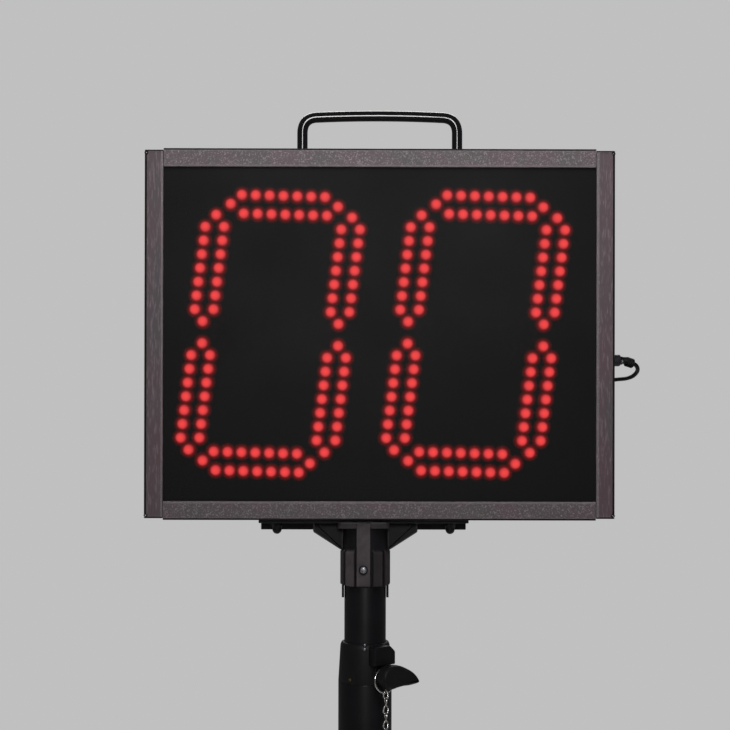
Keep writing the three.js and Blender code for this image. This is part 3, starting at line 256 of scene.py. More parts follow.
def piece(name, body, surfaces, materials, replaces=(), mark=None):
    """One object from closed surfaces; each is (points, faces) or (points, faces, material numbers).
    mark is a name and one number for each point, which the materials read."""
    points, faces, numbers = [], [], []
    for surface in surfaces:
        start = sum(len(part) for part in points)
        points.append(np.asarray(surface[0], float))
        faces += [[start + corner for corner in face] for face in surface[1]]
        numbers += np.broadcast_to(surface[2] if len(surface) > 2 else 0, len(surface[1])).tolist()
    mesh = bpy.data.meshes.new(name)
    mesh.from_pydata((np.concatenate(points) * MM).tolist(), [], faces)
    mesh.polygons.foreach_set("material_index", numbers)
    if mark:
        mesh.attributes.new(mark[0], "FLOAT", "POINT").data.foreach_set("value", mark[1])
    shell = bmesh.new()
    shell.from_mesh(mesh)
    bmesh.ops.recalc_face_normals(shell, faces=shell.faces)
    shell.to_mesh(mesh)
    shell.free()
    mesh.shade_smooth()
    mesh.set_sharp_from_angle(angle=CREASE)
    for material in materials:
        mesh.materials.append(material)
    made = linked(name, mesh)
    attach(made, body)
    if replaces:
        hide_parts(*replaces)
    return made


# Materials

def linear(code):
    """Linear colour of an sRGB hex code."""
    values = [int(code[i:i + 2], 16) / 255 for i in (1, 3, 5)]
    return [v / 12.92 if v <= 0.04045 else ((v + 0.055) / 1.055) ** 2.4 for v in values] + [1]


def add(tree, kind, inputs=None, **settings):
    """Shader node of a kind with its settings; an input takes a value, or the socket that feeds it."""
    node = tree.nodes.new("ShaderNode" + kind)
    for key, value in settings.items():
        setattr(node, key, value)
    for key, value in (inputs or {}).items():
        if isinstance(value, bpy.types.NodeSocket):
            tree.links.new(value, node.inputs[key])
        else:
            node.inputs[key].default_value = value
    return node


def ramp(tree, source, low, high, dark=0.0, light=1.0):
    """Share of a source between two levels, turned to a value between dark and light."""
    return add(tree, "MapRange", {
        "Value": source, "From Min": low, "From Max": high, "To Min": dark, "To Max": light,
    }).outputs["Result"]


def mixed(tree, share, first, second):
    """Colour mix of two colours or colour sockets."""
    return add(tree, "Mix", {0: share, 6: first, 7: second}, data_type="RGBA").outputs[2]


def noise(tree, place, scale, detail, roughness=0.5):
    """Noise with a number of grains per metre."""
    return add(tree, "TexNoise", {
        "Vector": place, "Scale": scale, "Detail": detail, "Roughness": roughness,
    }).outputs["Fac"]


def started(owner):
    """Emptied node tree of a material or world."""
    owner.use_nodes = True
    owner.node_tree.nodes.clear()
    return owner.node_tree


def new_material(name):
    """Material, its empty node tree, and the place on the object in metres."""
    material = bpy.data.materials.new(name)
    tree = started(material)
    return material, tree, add(tree, "TexCoord").outputs["Object"]


def finished(material, values):
    """Material closed with one principled surface."""
    tree = material.node_tree
    surface = add(tree, "BsdfPrincipled", values).outputs["BSDF"]
    add(tree, "OutputMaterial", {"Surface": surface})
    return material


def finish_of(name, colour, second, mottle, fleck, fleck_size, fleck_share, relief_size, relief, rough,
              rough_spread=0.08, worn=None, edge=0.5, stretch=(1, 1, 1), painted_light=None, **shader):
    """Procedural finish in real millimetres.

    Slow noise of size mottle blends colour and second, fine noise of size fleck_size sprinkles fleck,
    relief_size and relief are the grain's width and depth, and worn is the colour that edges take where
    they wear. edge is the radius to which sharp edges are rounded in the shading, and stretch draws the
    noise out along an axis. The paler colour of marked places is painted light, put where the piece marks
    faces and edges that catch more light.
    """
    material, tree, place = new_material(name)
    place = add(tree, "Mapping", {"Vector": place, "Scale": stretch}).outputs["Vector"]
    slow = noise(tree, place, 1 / (mottle * MM), 3.0, 0.55)
    fine = noise(tree, place, 1 / (fleck_size * MM), 2.0, 0.55)
    grain = noise(tree, place, 1 / (relief_size * MM), 4.0, 0.6)
    paint = mixed(tree, ramp(tree, slow, 0.36, 0.64), linear(colour), linear(second))
    if painted_light:
        marked = add(tree, "Attribute", attribute_name="painted_light").outputs["Fac"]
        paint = mixed(tree, marked, paint, mixed(tree, slow, linear(painted_light), linear(fleck)))
    paint = mixed(tree, ramp(tree, fine, 0.52, 0.7, 0, fleck_share), paint, linear(fleck))
    rounding = add(tree, "Bevel", {"Radius": edge * MM}, samples=4).outputs["Normal"]
    if worn:
        flat = add(tree, "NewGeometry").outputs["Normal"]
        turn = add(tree, "VectorMath", {0: rounding, 1: flat}, operation="DOT_PRODUCT").outputs["Value"]
        edges, patches = ramp(tree, turn, 0.99, 0.8), ramp(tree, slow, 0.35, 0.6)
        wear_and_highlight = add(tree, "Math", {0: edges, 1: patches}, operation="MULTIPLY").outputs["Value"]
        paint = mixed(tree, wear_and_highlight, paint, linear(worn))
    bump = add(tree, "Bump", {
        "Height": grain, "Distance": relief * MM, "Strength": 1.0, "Normal": rounding,
    }).outputs["Normal"]
    shine = ramp(tree, slow, 0.3, 0.7, rough - rough_spread, rough + rough_spread)
    values = {"Base Color": paint, "Roughness": shine, "Normal": bump}
    values.update({key.replace("_", " "): value for key, value in shader.items()})
    return finished(material, values)


# Powder coat with fine sand in it: a dark purple-brown ground with grey clouds and a pale sparkle
sanded = finish_of(
    "sand_textured_powder_coat", "#53474b", "#4d4a4a", 26, "#857c80", 1.1, 0.8, 0.8, 0.16, 0.56,
    edge=0.7, Specular_IOR_Level=0.2)
# The same coat on the upright rails, sanded along their length: smoother, darker, with faint long streaks
streaked = finish_of(
    "lengthwise_sanded_powder_coat", "#4f3f44", "#494447", 17, "#6c6266", 1.1, 0.7, 0.8, 0.1, 0.54,
    edge=0.7, stretch=(1, 1, 0.14), Specular_IOR_Level=0.2)
# Painted highlight on the inner lips and on a strip beside the rolled corners: a paler coat
wear_and_highlight = finish_of(
    "painted_highlight_powder_coat", "#5f5559", "#575254", 14, "#857c80", 1.3, 0.6, 0.9, 0.12, 0.5,
    edge=0.4, Specular_IOR_Level=0.25)
# Painted shade on the rolled outer corners of the rails and the rims of their end plates: near-black coat
corner_shade = finish_of(
    "painted_shade_on_rolled_corner", "#191616", "#131113", 12, "#3a3435", 1.2, 0.4, 0.8, 0.08, 0.5,
    edge=0.4, Specular_IOR_Level=0.2)
# Gloss stove enamel on steel: near-black with a faint purple cast and a slight orange peel
enamel = finish_of(
    "black_stove_enamel", "#0c0b0e", "#100e11", 30, "#191719", 1.6, 0.3, 2.2, 0.02, 0.36, 0.05,
    worn="#201d20", edge=0.4, Specular_IOR_Level=0.25)
# Thick gloss dip on the bent rod and small black rings: deep black, so a thin bright line runs along it
dipped = finish_of(
    "gloss_black_dip", "#060507", "#080709", 25, "#0e0c0f", 1.5, 0.2, 4.0, 0.002, 0.12, 0.01,
    edge=0.3, Specular_IOR_Level=0.5)
# Glass-filled nylon: satin black-brown with warm and purple clouds and a fine spark-eroded grain;
# its paler colour is painted light on the bracket's lit faces and edges
nylon = finish_of(
    "glass_filled_nylon", "#110f11", "#0f0d12", 11, "#2e2a29", 0.7, 0.3, 0.5, 0.04, 0.46, 0.07,
    worn="#2c282a", edge=0.5, painted_light="#5d555a", Specular_IOR_Level=0.2)
# Moulded plastic of the knob, the boxes and the tripod castings: even black with a satin face
moulded = finish_of(
    "satin_moulded_plastic", "#0f0e10", "#131214", 18, "#1c1b1d", 0.9, 0.3, 0.8, 0.04, 0.48, 0.06,
    worn="#1d1b1d", edge=0.5, Specular_IOR_Level=0.2)
# Solder mask over copper: very dark with the green of the mask in its lighter patches
black_mask = finish_of(
    "black_solder_mask", "#0e100f", "#121413", 6, "#1b201d", 0.8, 0.4, 0.6, 0.03, 0.45, edge=0.1)
# The usual mask of a board: deep green with pale yellow-green specks of its traces
green_mask = finish_of(
    "green_solder_mask", "#123f24", "#1a5230", 5, "#6f8f4a", 0.9, 0.5, 0.7, 0.05, 0.35, edge=0.1)
# Black passivated zinc on the sheet: dark grey with the long grain of its rolling
sheet_metal = finish_of(
    "black_passivated_sheet", "#1c1d1f", "#161719", 20, "#303235", 0.6, 0.4, 0.4, 0.02, 0.4, 0.08,
    edge=0.3, stretch=(0.15, 1, 1), Metallic=0.5)
# Nickel-bright steel of the chain, ring and pin: pale with darker tarnish in patches
bright = finish_of(
    "nickel_plated_steel", "#d2d0ce", "#b4b0af", 5, "#e8e6e3", 0.5, 0.5, 0.6, 0.01, 0.22, 0.07,
    worn="#ecebe8", edge=0.15, Metallic=1.0)
# Blackened steel of the nuts and screws: brown-black oxide with bright worn corners
blackened = finish_of(
    "blackened_steel", "#1e1b1e", "#161416", 4, "#3a3637", 0.4, 0.4, 0.4, 0.02, 0.34, 0.08,
    worn="#6a6466", edge=0.3, Metallic=0.5)
# Black chrome on the ring nut: dark blue-grey with a soft shine
chromed = finish_of(
    "black_chrome_plate", "#25252c", "#1d1d23", 6, "#34343e", 0.5, 0.3, 0.5, 0.01, 0.34, 0.06,
    edge=0.2, Metallic=0.2)
# Dull zinc of the pan screw and the collar rivets: mid grey with dark specks and a broad soft shine
zinc = finish_of(
    "dull_zinc_plate", "#a09ea4", "#807e84", 3, "#c8c6ca", 0.4, 0.5, 0.4, 0.02, 0.4, 0.08,
    worn="#cfcdd1", edge=0.2, Metallic=1.0)
# Brass rivet gone brown: only a dull yellow cast is left
brass = finish_of(
    "tarnished_brass", "#4a3f20", "#332b17", 2, "#6b5c30", 0.4, 0.4, 0.4, 0.02, 0.5, 0.08,
    edge=0.2, Metallic=0.6)
# Natural rubber of the feet: matt black with grey dust in its pores
rubber = finish_of(
    "moulded_rubber", "#141313", "#1c1b1a", 12, "#3a3835", 0.8, 0.45, 0.6, 0.12, 0.78, 0.06,
    worn="#333130", edge=0.6)
# Soft PVC of the lead: slightly shiny black with a fine drawn grain along it
cable_skin = finish_of(
    "soft_pvc", "#0b0a0c", "#100f11", 9, "#1f1e20", 0.5, 0.3, 0.5, 0.03, 0.4, 0.05, edge=0.2,
    Specular_IOR_Level=0.3)
# Heat-shrink wrap of the cells: dull blue film
wrap = finish_of(
    "heat_shrink_film", "#22407c", "#1c3565", 15, "#5f7cb0", 1.0, 0.3, 1.6, 0.12, 0.32, edge=0.4)
# Black epoxy and bare plastic of the strips that carry the lights
strip_black = finish_of(
    "matt_black_moulding", "#0c0b0c", "#100f10", 8, "#1a191a", 0.7, 0.3, 0.6, 0.04, 0.62, edge=0.2)


def smoked_acrylic():
    """Anti-glare smoked sheet: a matt black face that lets about a quarter of the light through."""
    material, tree, place = new_material("smoked_acrylic_sheet")
    haze, etch = noise(tree, place, 14.0, 3.0), noise(tree, place, 3200.0, 2.0)
    tint = mixed(tree, haze, linear("#131214"), linear("#131312"))
    bump = add(tree, "Bump", {"Height": etch, "Distance": 0.00002, "Strength": 0.6}).outputs["Normal"]
    return finished(material, {
        "Base Color": tint, "Roughness": ramp(tree, haze, 0.3, 0.7, 0.5, 0.58), "Normal": bump,
        "Specular IOR Level": 0.12, "Alpha": 0.74,
    })


def lens(name, lit):
    """Red epoxy lens. Lit, the glow attribute gives the share of light at each place: full and
    orange-red on top of the dome, pinker and weaker down its side, deep red on the flange that
    spreads the last of it. Unlit, it is a dull dark red."""
    material, tree, place = new_material(name)
    cloud = noise(tree, place, 260.0, 2.0)
    body = mixed(tree, cloud, linear("#1c0505"), linear("#260808"))
    values = {"Base Color": body, "Roughness": ramp(tree, cloud, 0.3, 0.7, 0.28, 0.4)}
    if lit:
        glow = add(tree, "Attribute", attribute_name="glow").outputs["Fac"]
        dome = mixed(tree, ramp(tree, glow, 0.6, 1.0), linear("#ff484e"), linear("#ff4540"))
        values["Emission Color"] = mixed(tree, ramp(tree, glow, 0.08, 0.34), linear("#ff0d06"), dome)
        power = ramp(tree, cloud, 0.3, 0.7, 14.0, 15.2)
        values["Emission Strength"] = add(
            tree, "Math", {0: glow, 1: power}, operation="MULTIPLY").outputs["Value"]
    return finished(material, values)


acrylic = smoked_acrylic()
lit_lens = lens("lit_red_epoxy", True)
dark_lens = lens("unlit_red_epoxy", False)


# Camera of the photograph: level with the lower half of the case, 1.24 m in front of it

def axes_matrix(x_axis, y_axis, z_axis, place):
    """Matrix whose columns are three axes and a place in metres."""
    matrix = np.eye(4)
    matrix[:3] = np.column_stack([x_axis, y_axis, z_axis, place])
    return Matrix(matrix.tolist())


def photo_camera():
    camera = bpy.data.cameras.new("photo_camera")
    camera.sensor_width = 36
    camera.lens = 73.97
    yaw, pitch, roll = (math.radians(a) for a in (0.2802, -0.1947, 0.1261))
    forward = np.array([math.sin(yaw) * math.cos(pitch), math.cos(yaw) * math.cos(pitch), -math.sin(pitch)])
    level = np.array([math.cos(yaw), -math.sin(yaw), 0])
    upright = np.cross(level, forward)
    right = math.cos(roll) * level + math.sin(roll) * upright
    up = math.cos(roll) * upright - math.sin(roll) * level
    holder = linked("photo_camera", camera)
    holder.matrix_world = axes_matrix(right, up, -forward, (-0.00675, -1.3727, 0.86837))
    scene.camera = holder


photo_camera()


# Supply lead from the gland on the battery box, round the case's edge and up into its plug

LEAD_DIAMETER = 3.5
LEAD_ROUTE = HEAD + [
    (96.3, 44.6, -40), (104, 44.7, -40.2), (118, 45.4, -41.8), (136, 45.9, -43.6), (155, 45.8, -44.6),
    (173, 44.8, -43.8), (187, 42.4, -41), (198, 38.2, -38.6), (206.6, 32.8, -37.2), (213, 26.8, -36.4),
    (217.4, 20.8, -34.6), (219.8, 15.6, -31.8), (220.4, 11.4, -29), (219.4, 8, -26.6),
    (217.4, 5.6, -24.6), (215.18, 4.327, -23.743),
]
PLUG_START = HEAD + [205.9, 0, -21]
PLUG_AXIS = np.array([0.8754, 0.4082, -0.2588])


def lead_plug():
    """Strain-relief plug on a ferrule: a revolved profile that swells over four soft ribs, grows from
    its start and rounds off at its end."""
    start, end, ribs = 3, 10.3, 4
    h = np.linspace(start, end, 60)
    radius = 4.2 - 0.38 * (1 + np.cos((h - start) * 2 * math.pi * ribs / (end - start)))
    radius *= np.minimum(1, np.sqrt(np.maximum(0, 1 - ((h - end + 1).clip(0) / 1.25) ** 2)))
    radius *= np.minimum(1, 0.8 + (h - start) / 2)
    profile = np.vstack([[0, start], np.column_stack([radius, h]), [0, end]])
    body = turned(profile, PLUG_START, PLUG_AXIS)
    ferrule = turned([[0, 0], [2.7, 0], [2.95, 0.3], [2.95, 4.2], [0, 4.5]], PLUG_START, RIGHT)
    return piece("plug_body", "head", [body, ferrule], [moulded], ["lead_plug"])


def supply_lead(plug):
    """Soft lead: a circle carried along the smooth curve through the points of its route."""
    path = smooth_route(LEAD_ROUTE, 12)
    tube = skin(carried(path, ring(LEAD_DIAMETER / 2, 20)))
    lead = piece("lead", "head", [tube], [cable_skin], ["supply_lead"])


supply_lead(lead_plug())


# Digits: sixteen domed lights on a strip for each of the seven segments

# Middle of each digit on the case, and the way from it to the outer segments
DIGIT_MIDDLES = {"left": -91.1, "right": 80.1}
DIGIT_REACH, DIGIT_RISE, DIGIT_LIFT = 56.606, 107.01, 0.7
# Lean of a digit and of its columns, and fall of its rows to the right
DIGIT_SLANT, DIGIT_SAG = (math.tan(math.radians(a)) for a in (6.12, 1.05))
ROW_FALL, COLUMN_LEAN = (math.radians(a) for a in (1.45, 7.15))
# Ways between the lights, from the line to a pair, and from the last light to the strip's end
ROW_PITCH, COLUMN_PITCH = 11.554, 11.562
DOT_OUT, END_DOT, STRIP_RIM = 7.8, 3.87, 5.3
STRIP_BACK, STRIP_FRONT = 10.9, 12.9
# Share of the rise and of the reach at which a segment lies, and whether it is a row
SEGMENTS = {
    "a": (1, 0, True), "b": (0.5, 1, False), "c": (-0.5, 1, False), "d": (-1, 0, True),
    "e": (-0.5, -1, False), "f": (0.5, -1, False), "g": (0, 0, True),
}
LENS_SIDES = 12
LENS_PROFILE = [(3.2, 1.2), (7.6, 1.3), (6.2, 1.9), (5, 2.5), (4.15, 3), (3.8, 4.6), (2.4, 5.6), (0, 6)]
LENS_GLOW = [0, 0.012, 0.05, 0.13, 0.29, 0.48, 0.8, 1]


def segment(digit, letter):
    """Strip and its lenses: seven pairs along a row or a leaning column, and one lens at each end."""
    rise_share, reach_share, level = SEGMENTS[letter]
    rise, reach = rise_share * DIGIT_RISE, reach_share * DIGIT_REACH
    middle = np.array([
        DIGIT_MIDDLES[digit] + reach + rise * DIGIT_SLANT, DIGIT_LIFT + rise - reach * DIGIT_SAG])
    if level:
        line, across = np.array([[math.cos(ROW_FALL), -math.sin(ROW_FALL)], [-0.8, DOT_OUT]])
        pitch = ROW_PITCH
    else:
        line, across = np.array([[math.sin(COLUMN_LEAN), math.cos(COLUMN_LEAN)], [DOT_OUT, 0]])
        pitch = COLUMN_PITCH
    pairs = np.array([(i - 3) * pitch * line + side * across for i in range(7) for side in (-1, 1)])
    dots = middle + np.vstack([pairs, END_DOT * pitch * line, -END_DOT * pitch * line])
    broad = (1 + STRIP_RIM / DOT_OUT) * across
    end, row_end = (END_DOT * pitch + STRIP_RIM) * line, (3 * pitch + STRIP_RIM / 2) * line
    corners = np.array([-end, -row_end - broad, row_end - broad, end, row_end + broad, -row_end + broad])
    strip = plate(rounded(middle + corners, 2), STRIP_BACK, STRIP_FRONT, 0.3, HEAD, RIGHT, UP)
    dome = skin(revolved(LENS_PROFILE, LENS_SIDES))
    lenses = [laid(dome, HEAD + [x, -STRIP_FRONT, z], RIGHT, UP) for x, z in dots]
    shine = np.append(np.repeat(LENS_GLOW[:-1], LENS_SIDES), LENS_GLOW[-1])
    glow = np.concatenate([np.zeros(len(strip[0]))] + [shine] * len(dots))
    lit = letter != "g"
    piece(
        f"{digit}_lights_{letter}", "head",
        [strip + (1,)] + lenses, [lit_lens if lit else dark_lens, strip_black],
        [f"{digit}_segment_{letter}"], mark=("glow", glow))


for digit in DIGIT_MIDDLES:
    for letter in SEGMENTS:
        segment(digit, letter)


# Case rails: channels with a rolled outer corner and rounded lips

CASE_WIDE, CASE_TALL, CASE_DEEP = 195, 154, 25
RAIL_FACE, RAIL_WALL, LIP = 15.5, 2.5, 0.6
SIDE_STEP = 1.5


def channel(outer, roll, light, lip_light=1.7):
    """Outline of a rail in depth and outward distance: back lip, back face, rolled corner, wall, rolled
    corner, front face and lip on the outside, after the same a wall's thickness inside. The numbers give
    each stretch its material: 2 for a painted highlight on the front lip and on a strip of the front
    face beside its rolled corner, 1 for the painted shade of that corner, 0 for all else."""
    inner = outer - RAIL_FACE
    inside = CASE_DEEP - RAIL_WALL
    parts = [
        bend(LIP - CASE_DEEP, inner + LIP, LIP, 270, 180),
        [(-CASE_DEEP, inner + lip_light), (-CASE_DEEP, outer - roll - light)],
        bend(roll - CASE_DEEP, outer - roll, roll, 180, 90, 6),
        bend(CASE_DEEP - roll, outer - roll, roll, 90, 0, 6),
        bend(CASE_DEEP - LIP, inner + LIP, LIP, 0, -90),
        [(inside, inner), (inside, outer - RAIL_WALL), (-inside, outer - RAIL_WALL), (-inside, inner)],
    ]
    numbers = np.array([2] * 4 + [0, 2] + [1] * 6 + [0] * 16)
    return np.vstack(parts)[::-1], np.roll(numbers[::-1], -1)


def side_rail(name, side, node, lip_light):
    """Channel carried straight up, and a rounded plate at each end that stands a little out of it."""
    half, plate_edge, bands, rim_steps = CASE_TALL - SIDE_STEP, 1.2, 8, 3
    outline, numbers = channel(CASE_WIDE, roll=2.1, light=0.05, lip_light=lip_light)
    levels = np.linspace(plate_edge - half, half - plate_edge, bands + 1)
    wall = np.stack([np.column_stack([outline, np.full(len(outline), z)]) for z in levels])
    surfaces = [laid(skin(wall), HEAD, BACK, side * RIGHT) + (np.append(np.tile(numbers, bands), [0, 0]),)]
    shape = inset(outline[4:], 0.02)
    # The end plates' rounded sides take the painted shade of the rolled corners, their two flat faces the
    # coat
    shape_numbers = np.append(np.ones((2 * rim_steps + 1) * len(shape), int), [0, 0])
    for low, high in ((-half, RAIL_WALL - half), (half - RAIL_WALL, half)):
        end = plate(shape, low, high, 0.5, HEAD, BACK, side * RIGHT, rim_steps)
        surfaces.append(end + (shape_numbers,))
    piece(name, "head", surfaces, [streaked, corner_shade, wear_and_highlight], [node])


def level_rail(name, side, node):
    """Channel carried straight across, between the side rails."""
    outline, numbers = channel(CASE_TALL, roll=1.6, light=0.6)
    gap, bands = 0.3, 12
    reach = side * (CASE_WIDE - RAIL_FACE - gap)
    places = np.linspace(-reach, reach, bands + 1)
    wall = np.stack([np.column_stack([np.full(len(outline), x), outline]) for x in places])
    points, faces = skin(wall * [1, 1, side])
    surface = (points + HEAD, faces, np.append(np.tile(numbers, bands), [0, 0]))
    piece(name, "head", [surface], [sanded, corner_shade, wear_and_highlight], [node])


side_rail("left_rail_channel", -1, "left_rail", 1.7)
side_rail("right_rail_channel", 1, "right_rail", 2.4)
level_rail("top_rail_channel", 1, "top_rail")
level_rail("bottom_rail_channel", -1, "bottom_rail")


# Carry handle

def handle():
    """Bent rod: a circle carried along legs, corners and a slightly bowed grip, which are joined
    quadratic curves in the plane of the case."""
    foot, half, grip, corner, bow, radius = 154.3, 65.3, 183.6, 13.5, 2.4, 4.4
    shoulder, knee = grip - corner, half - corner
    waist = (foot + shoulder) / 2
    stops = np.array([
        [(-half, foot), (-half, waist), (-half, shoulder)], [(-half, shoulder), (-half, grip), (-knee, grip)],
        [(-knee, grip), (0, grip + bow), (knee, grip)],
        [(knee, grip), (half, grip), (half, shoulder)], [(half, shoulder), (half, waist), (half, foot)],
    ])
    curve = quadratic(stops[:, 0], stops[:, 1], stops[:, 2], np.linspace(0, 1, 24, endpoint=False))
    flat = np.vstack([curve, stops[-1, -1]])
    path = HEAD + np.column_stack([flat[:, 0], np.zeros(len(flat)), flat[:, 1]])
    rod = skin(carried(path, ring(radius, 32), lift=BACK))
    piece("bent_rod_handle", "head", [rod], [dipped], ["carry_handle"])


handle()


# Side socket and the small screws of the case

def side_socket():
    """Chassis socket on the right wall: a revolved body inside, a knurled ring nut outside, and its
    neck, with a small zinc ball on its front that is a painted highlight for a glint on the neck."""
    profile = [
        (0, -14.8), (5.8, -14.8), (5.8, -2.8), (4, -2.8), (4, 0.3), (4.7, 0.3), (5, 0.7), (5, 2.2), (5, 6.8),
        (4.8, 7.7), (4.3, 8.4), (3.6, 8.7), (0, 8.7),
    ]
    place = HEAD + [CASE_WIDE, 0, -21]
    knurl = 0.985 + 0.015 * np.cos(24 * once_round(144))
    nut = turned(profile, place, RIGHT, 144, slice(6, 9), knurl)
    neck = turned([(0, 8), (3.6, 8), (3.6, 10), (3.2, 10.5), (0, 10.5)], place, RIGHT)
    a = np.linspace(0, math.pi, 13)
    half_circle = np.column_stack([1.35 * np.sin(a), 3.4 - 1.35 * np.cos(a)])
    ball = turned(half_circle, place + 9.6 * RIGHT - 0.6 * UP, -BACK, 24)
    piece("ring_nut_socket", "head", [nut, neck + (1,), ball + (2,)],
          [chromed, dipped, zinc], ["side_socket"])


def screw_head(place, radius, height):
    """Button head on a rear face, with a hexagon socket: a revolved dome with a sunk floor inside six
    flats."""
    dome = [(0, 0), (radius, 0), (radius, height * 0.35), (radius * 0.9, height * 0.7),
            (radius * 0.65, height * 0.95), (radius * 0.5, height), (radius * 0.5, height * 0.4),
            (0, height * 0.4)]
    return turned(dome, place, BACK, 24, slice(5, 7), hexagon(24))


def corner_screw(x, z):
    """Small screw at a corner of the case front: a black countersunk ring round a bright domed middle."""
    rim = [(0, -2.2), (1.6, -2.2), (1.6, 0.2), (1.35, 0.4), (0.95, 0.3), (0.8, 0), (0, 0)]
    middle = [(0, -0.2), (0.7, -0.2), (0.7, 0.25), (0.45, 0.45), (0, 0.5)]
    return [turned(part, HEAD + [x, -CASE_DEEP, z], -BACK, 24) + (number,)
            for number, part in enumerate((rim, middle))]


def case_screws():
    """Small screws at the four outer corners of the case front and down the rear cover."""
    fronts = [part for x in (-1, 1) for z in (-1, 1) for part in corner_screw(x * 193.4, z * 150)]
    piece("corner_screws", "head", fronts, [dipped, zinc])
    spots = [(x, z) for x in (-185, -62, 62, 185) for z in (-144, 144)] + [(x, 0) for x in (-185, 185)]
    backs = [screw_head(HEAD + [x, 27.3, z], 3.2, 1.8) for x, z in spots]
    piece("cover_screws", "head", backs, [blackened])


side_socket()
case_screws()


# Pole bracket

SOCKET_WALL, RIB_OUT, RIBS = 18.9, 20.6, 10
SOCKET_TURN, SOCKET_SCREW_LEVEL = -94.6, 702.4
# How far under the bracket a rib begins: between ribs that is below the socket's end
RIB_TOP, FRONT_RIB_TOP, NO_RIB = 24, -0.5, 60
# Painted light: how pale each rib's face is painted for the light it catches, by rib number from the front;
# other ribs 0.3
RIB_PALENESS = {0: 0.8, 1: 0.35, 9: 0.9}


def socket_wall():
    """Ribbed pole socket: radius as a function of the angle and the height. Between ribs the wall's
    radius is constant; a rib is a flat face at one distance from the axis that fades out over its
    sloped top. The second result is painted light: how pale each point of a rib's face is painted for
    the light it catches, none on the wall between the ribs."""
    turn, pitch, edge = math.radians(SOCKET_TURN), 2 * math.pi / RIBS, 0.25
    angles, flats, tops, paler = [], [], [], []
    for i in range(RIBS):
        half = 4.5 if i else 5.8
        spots = np.concatenate([
            [-half - edge, -half], np.linspace(-half + edge, half - edge, 7), [half, half + edge]])
        share = np.concatenate([[0, 0.75], np.ones(7), [0.75, 0]])
        gap = turn + (i + 0.5) * pitch
        angles += [turn + i * pitch + np.arctan2(spots, RIB_OUT), [gap - 0.05, gap, gap + 0.05]]
        flats += [np.where(share > 0, np.hypot(spots, RIB_OUT) - (1 - share) * 1.2, SOCKET_WALL),
                  [SOCKET_WALL] * 3]
        tops += [[RIB_TOP if i else FRONT_RIB_TOP] * 11, [NO_RIB] * 3]
        paler += [[RIB_PALENESS.get(i, 0.3)] * 11, [0] * 3]
    angle, flat, top, pale = (np.concatenate(part) for part in (angles, flats, tops, paler))
    levels = [[-56, -55.7, -55], np.linspace(-54, -28.5, 12), np.linspace(-28, -24.4, 7),
              np.linspace(-22, -8, 6), np.linspace(-7.5, -4.4, 6), [-3.4, -2]]
    height = np.concatenate(levels)[:, None]
    raised = np.clip((-top - 1.2 - height) / 2.8, 0, 1)
    radius = SOCKET_WALL + (flat - SOCKET_WALL) * raised
    radius -= np.where(height < -55.9, 0.7, np.where(height < -55.6, 0.25, 0))
    outer = np.stack([radius * np.cos(angle), radius * np.sin(angle), height + 0 * radius], axis=-1)
    bore = np.stack([np.column_stack([r * np.cos(angle), r * np.sin(angle), np.full(len(angle), z)])
                     for r, z in ((0, -6), (17.8, -6), (17.8, -55.4), (18.3, -56))])
    lid = 0 * outer[:1] + [0, 0, -2]
    pale = np.concatenate([np.zeros((3, len(angle))), raised * (flat > 20) * pale]).reshape(-1)
    return skin(np.concatenate([bore, outer, lid])), np.append(pale, [0, 0])


def mount_bracket():
    """Bar of bent sheet under the case, a raised pad, two gussets, the ribbed socket and two tongues."""
    bar = rounded([(-17, -3.3), (-17, -0.3), (19, -0.3), (19, -12), (16, -12), (16, -3.3)],
                  [1, 1, 2.4, 0.8, 0.8, 1])
    bent = plate(bar, -89, 86, 0.7, BRACKET, BACK, UP)
    block = rounded([(-23, -20), (20, -20), (20, 21.5), (-23, 21.5)], 3)
    pad = plate(block, -7.5, -1.8, 0.6, BRACKET, RIGHT, BACK)
    socket, paler = socket_wall()
    surfaces = [bent, pad, laid(socket, BRACKET, RIGHT, BACK)]
    # Painted light: the bar a little, the pad's face more, and the ribs as the socket wall gives
    painted_light = [np.full(len(bent[0]), 0.15), np.full(len(pad[0]), 0.6), paler]
    for side in (-1, 1):
        gusset = rounded([(18.5, -3), (44, -3), (44, -12), (20.6, -27), (18.5, -27)], 1.2, 3) * [side, 1]
        face = np.column_stack([inset(gusset, 1.7), np.full(len(gusset), 2.5)])
        cheek = skin(np.append(slab(gusset, -2.5, 2.5, 0.9), [face], axis=0))
        surfaces.append(laid(cheek, BRACKET, RIGHT, UP))
        # Painted highlight: a pale line round the front rim of each gusset
        painted_light.append(np.repeat([0, 0, 0, 0, 1, 1, 1, 1, 0], len(gusset)))
        tongue = rounded([(-4, -67), (4, -67), (4, -45), (-4, -45)], [1.6, 1.6, 0.3, 0.3])
        middle, half = side * 18.75, 0.95
        surfaces.append(plate(tongue, middle - half, middle + half, 0.25, BRACKET, BACK, UP))
        painted_light.append(np.zeros(len(surfaces[-1][0])))
    piece("ribbed_pole_bracket", "head", surfaces, [nylon], ["mount_bracket"],
          mark=("painted_light", np.concatenate(painted_light)))


def cap_nut(name, x, node):
    """Acorn nut on its bolt: a hexagonal prism with a chamfered edge, a dome below it, and the shank."""
    a = np.linspace(0, math.pi / 2, 10)
    dome = np.column_stack([3.9 * np.sin(a), -10 - 3.9 * np.cos(a)])
    prism = [(3.9, -8.2), (4.5, -7.7), (4.6, -7.2), (4.6, -4.4), (4.4, -3.95), (2.5, -3.9), (2.5, 9), (0, 9)]
    nut = turned(np.vstack([dome, prism]), BRACKET + x * RIGHT, UP, 48, slice(11, 15), hexagon(48), RIGHT)
    piece(name, "head", [nut], [blackened], [node])


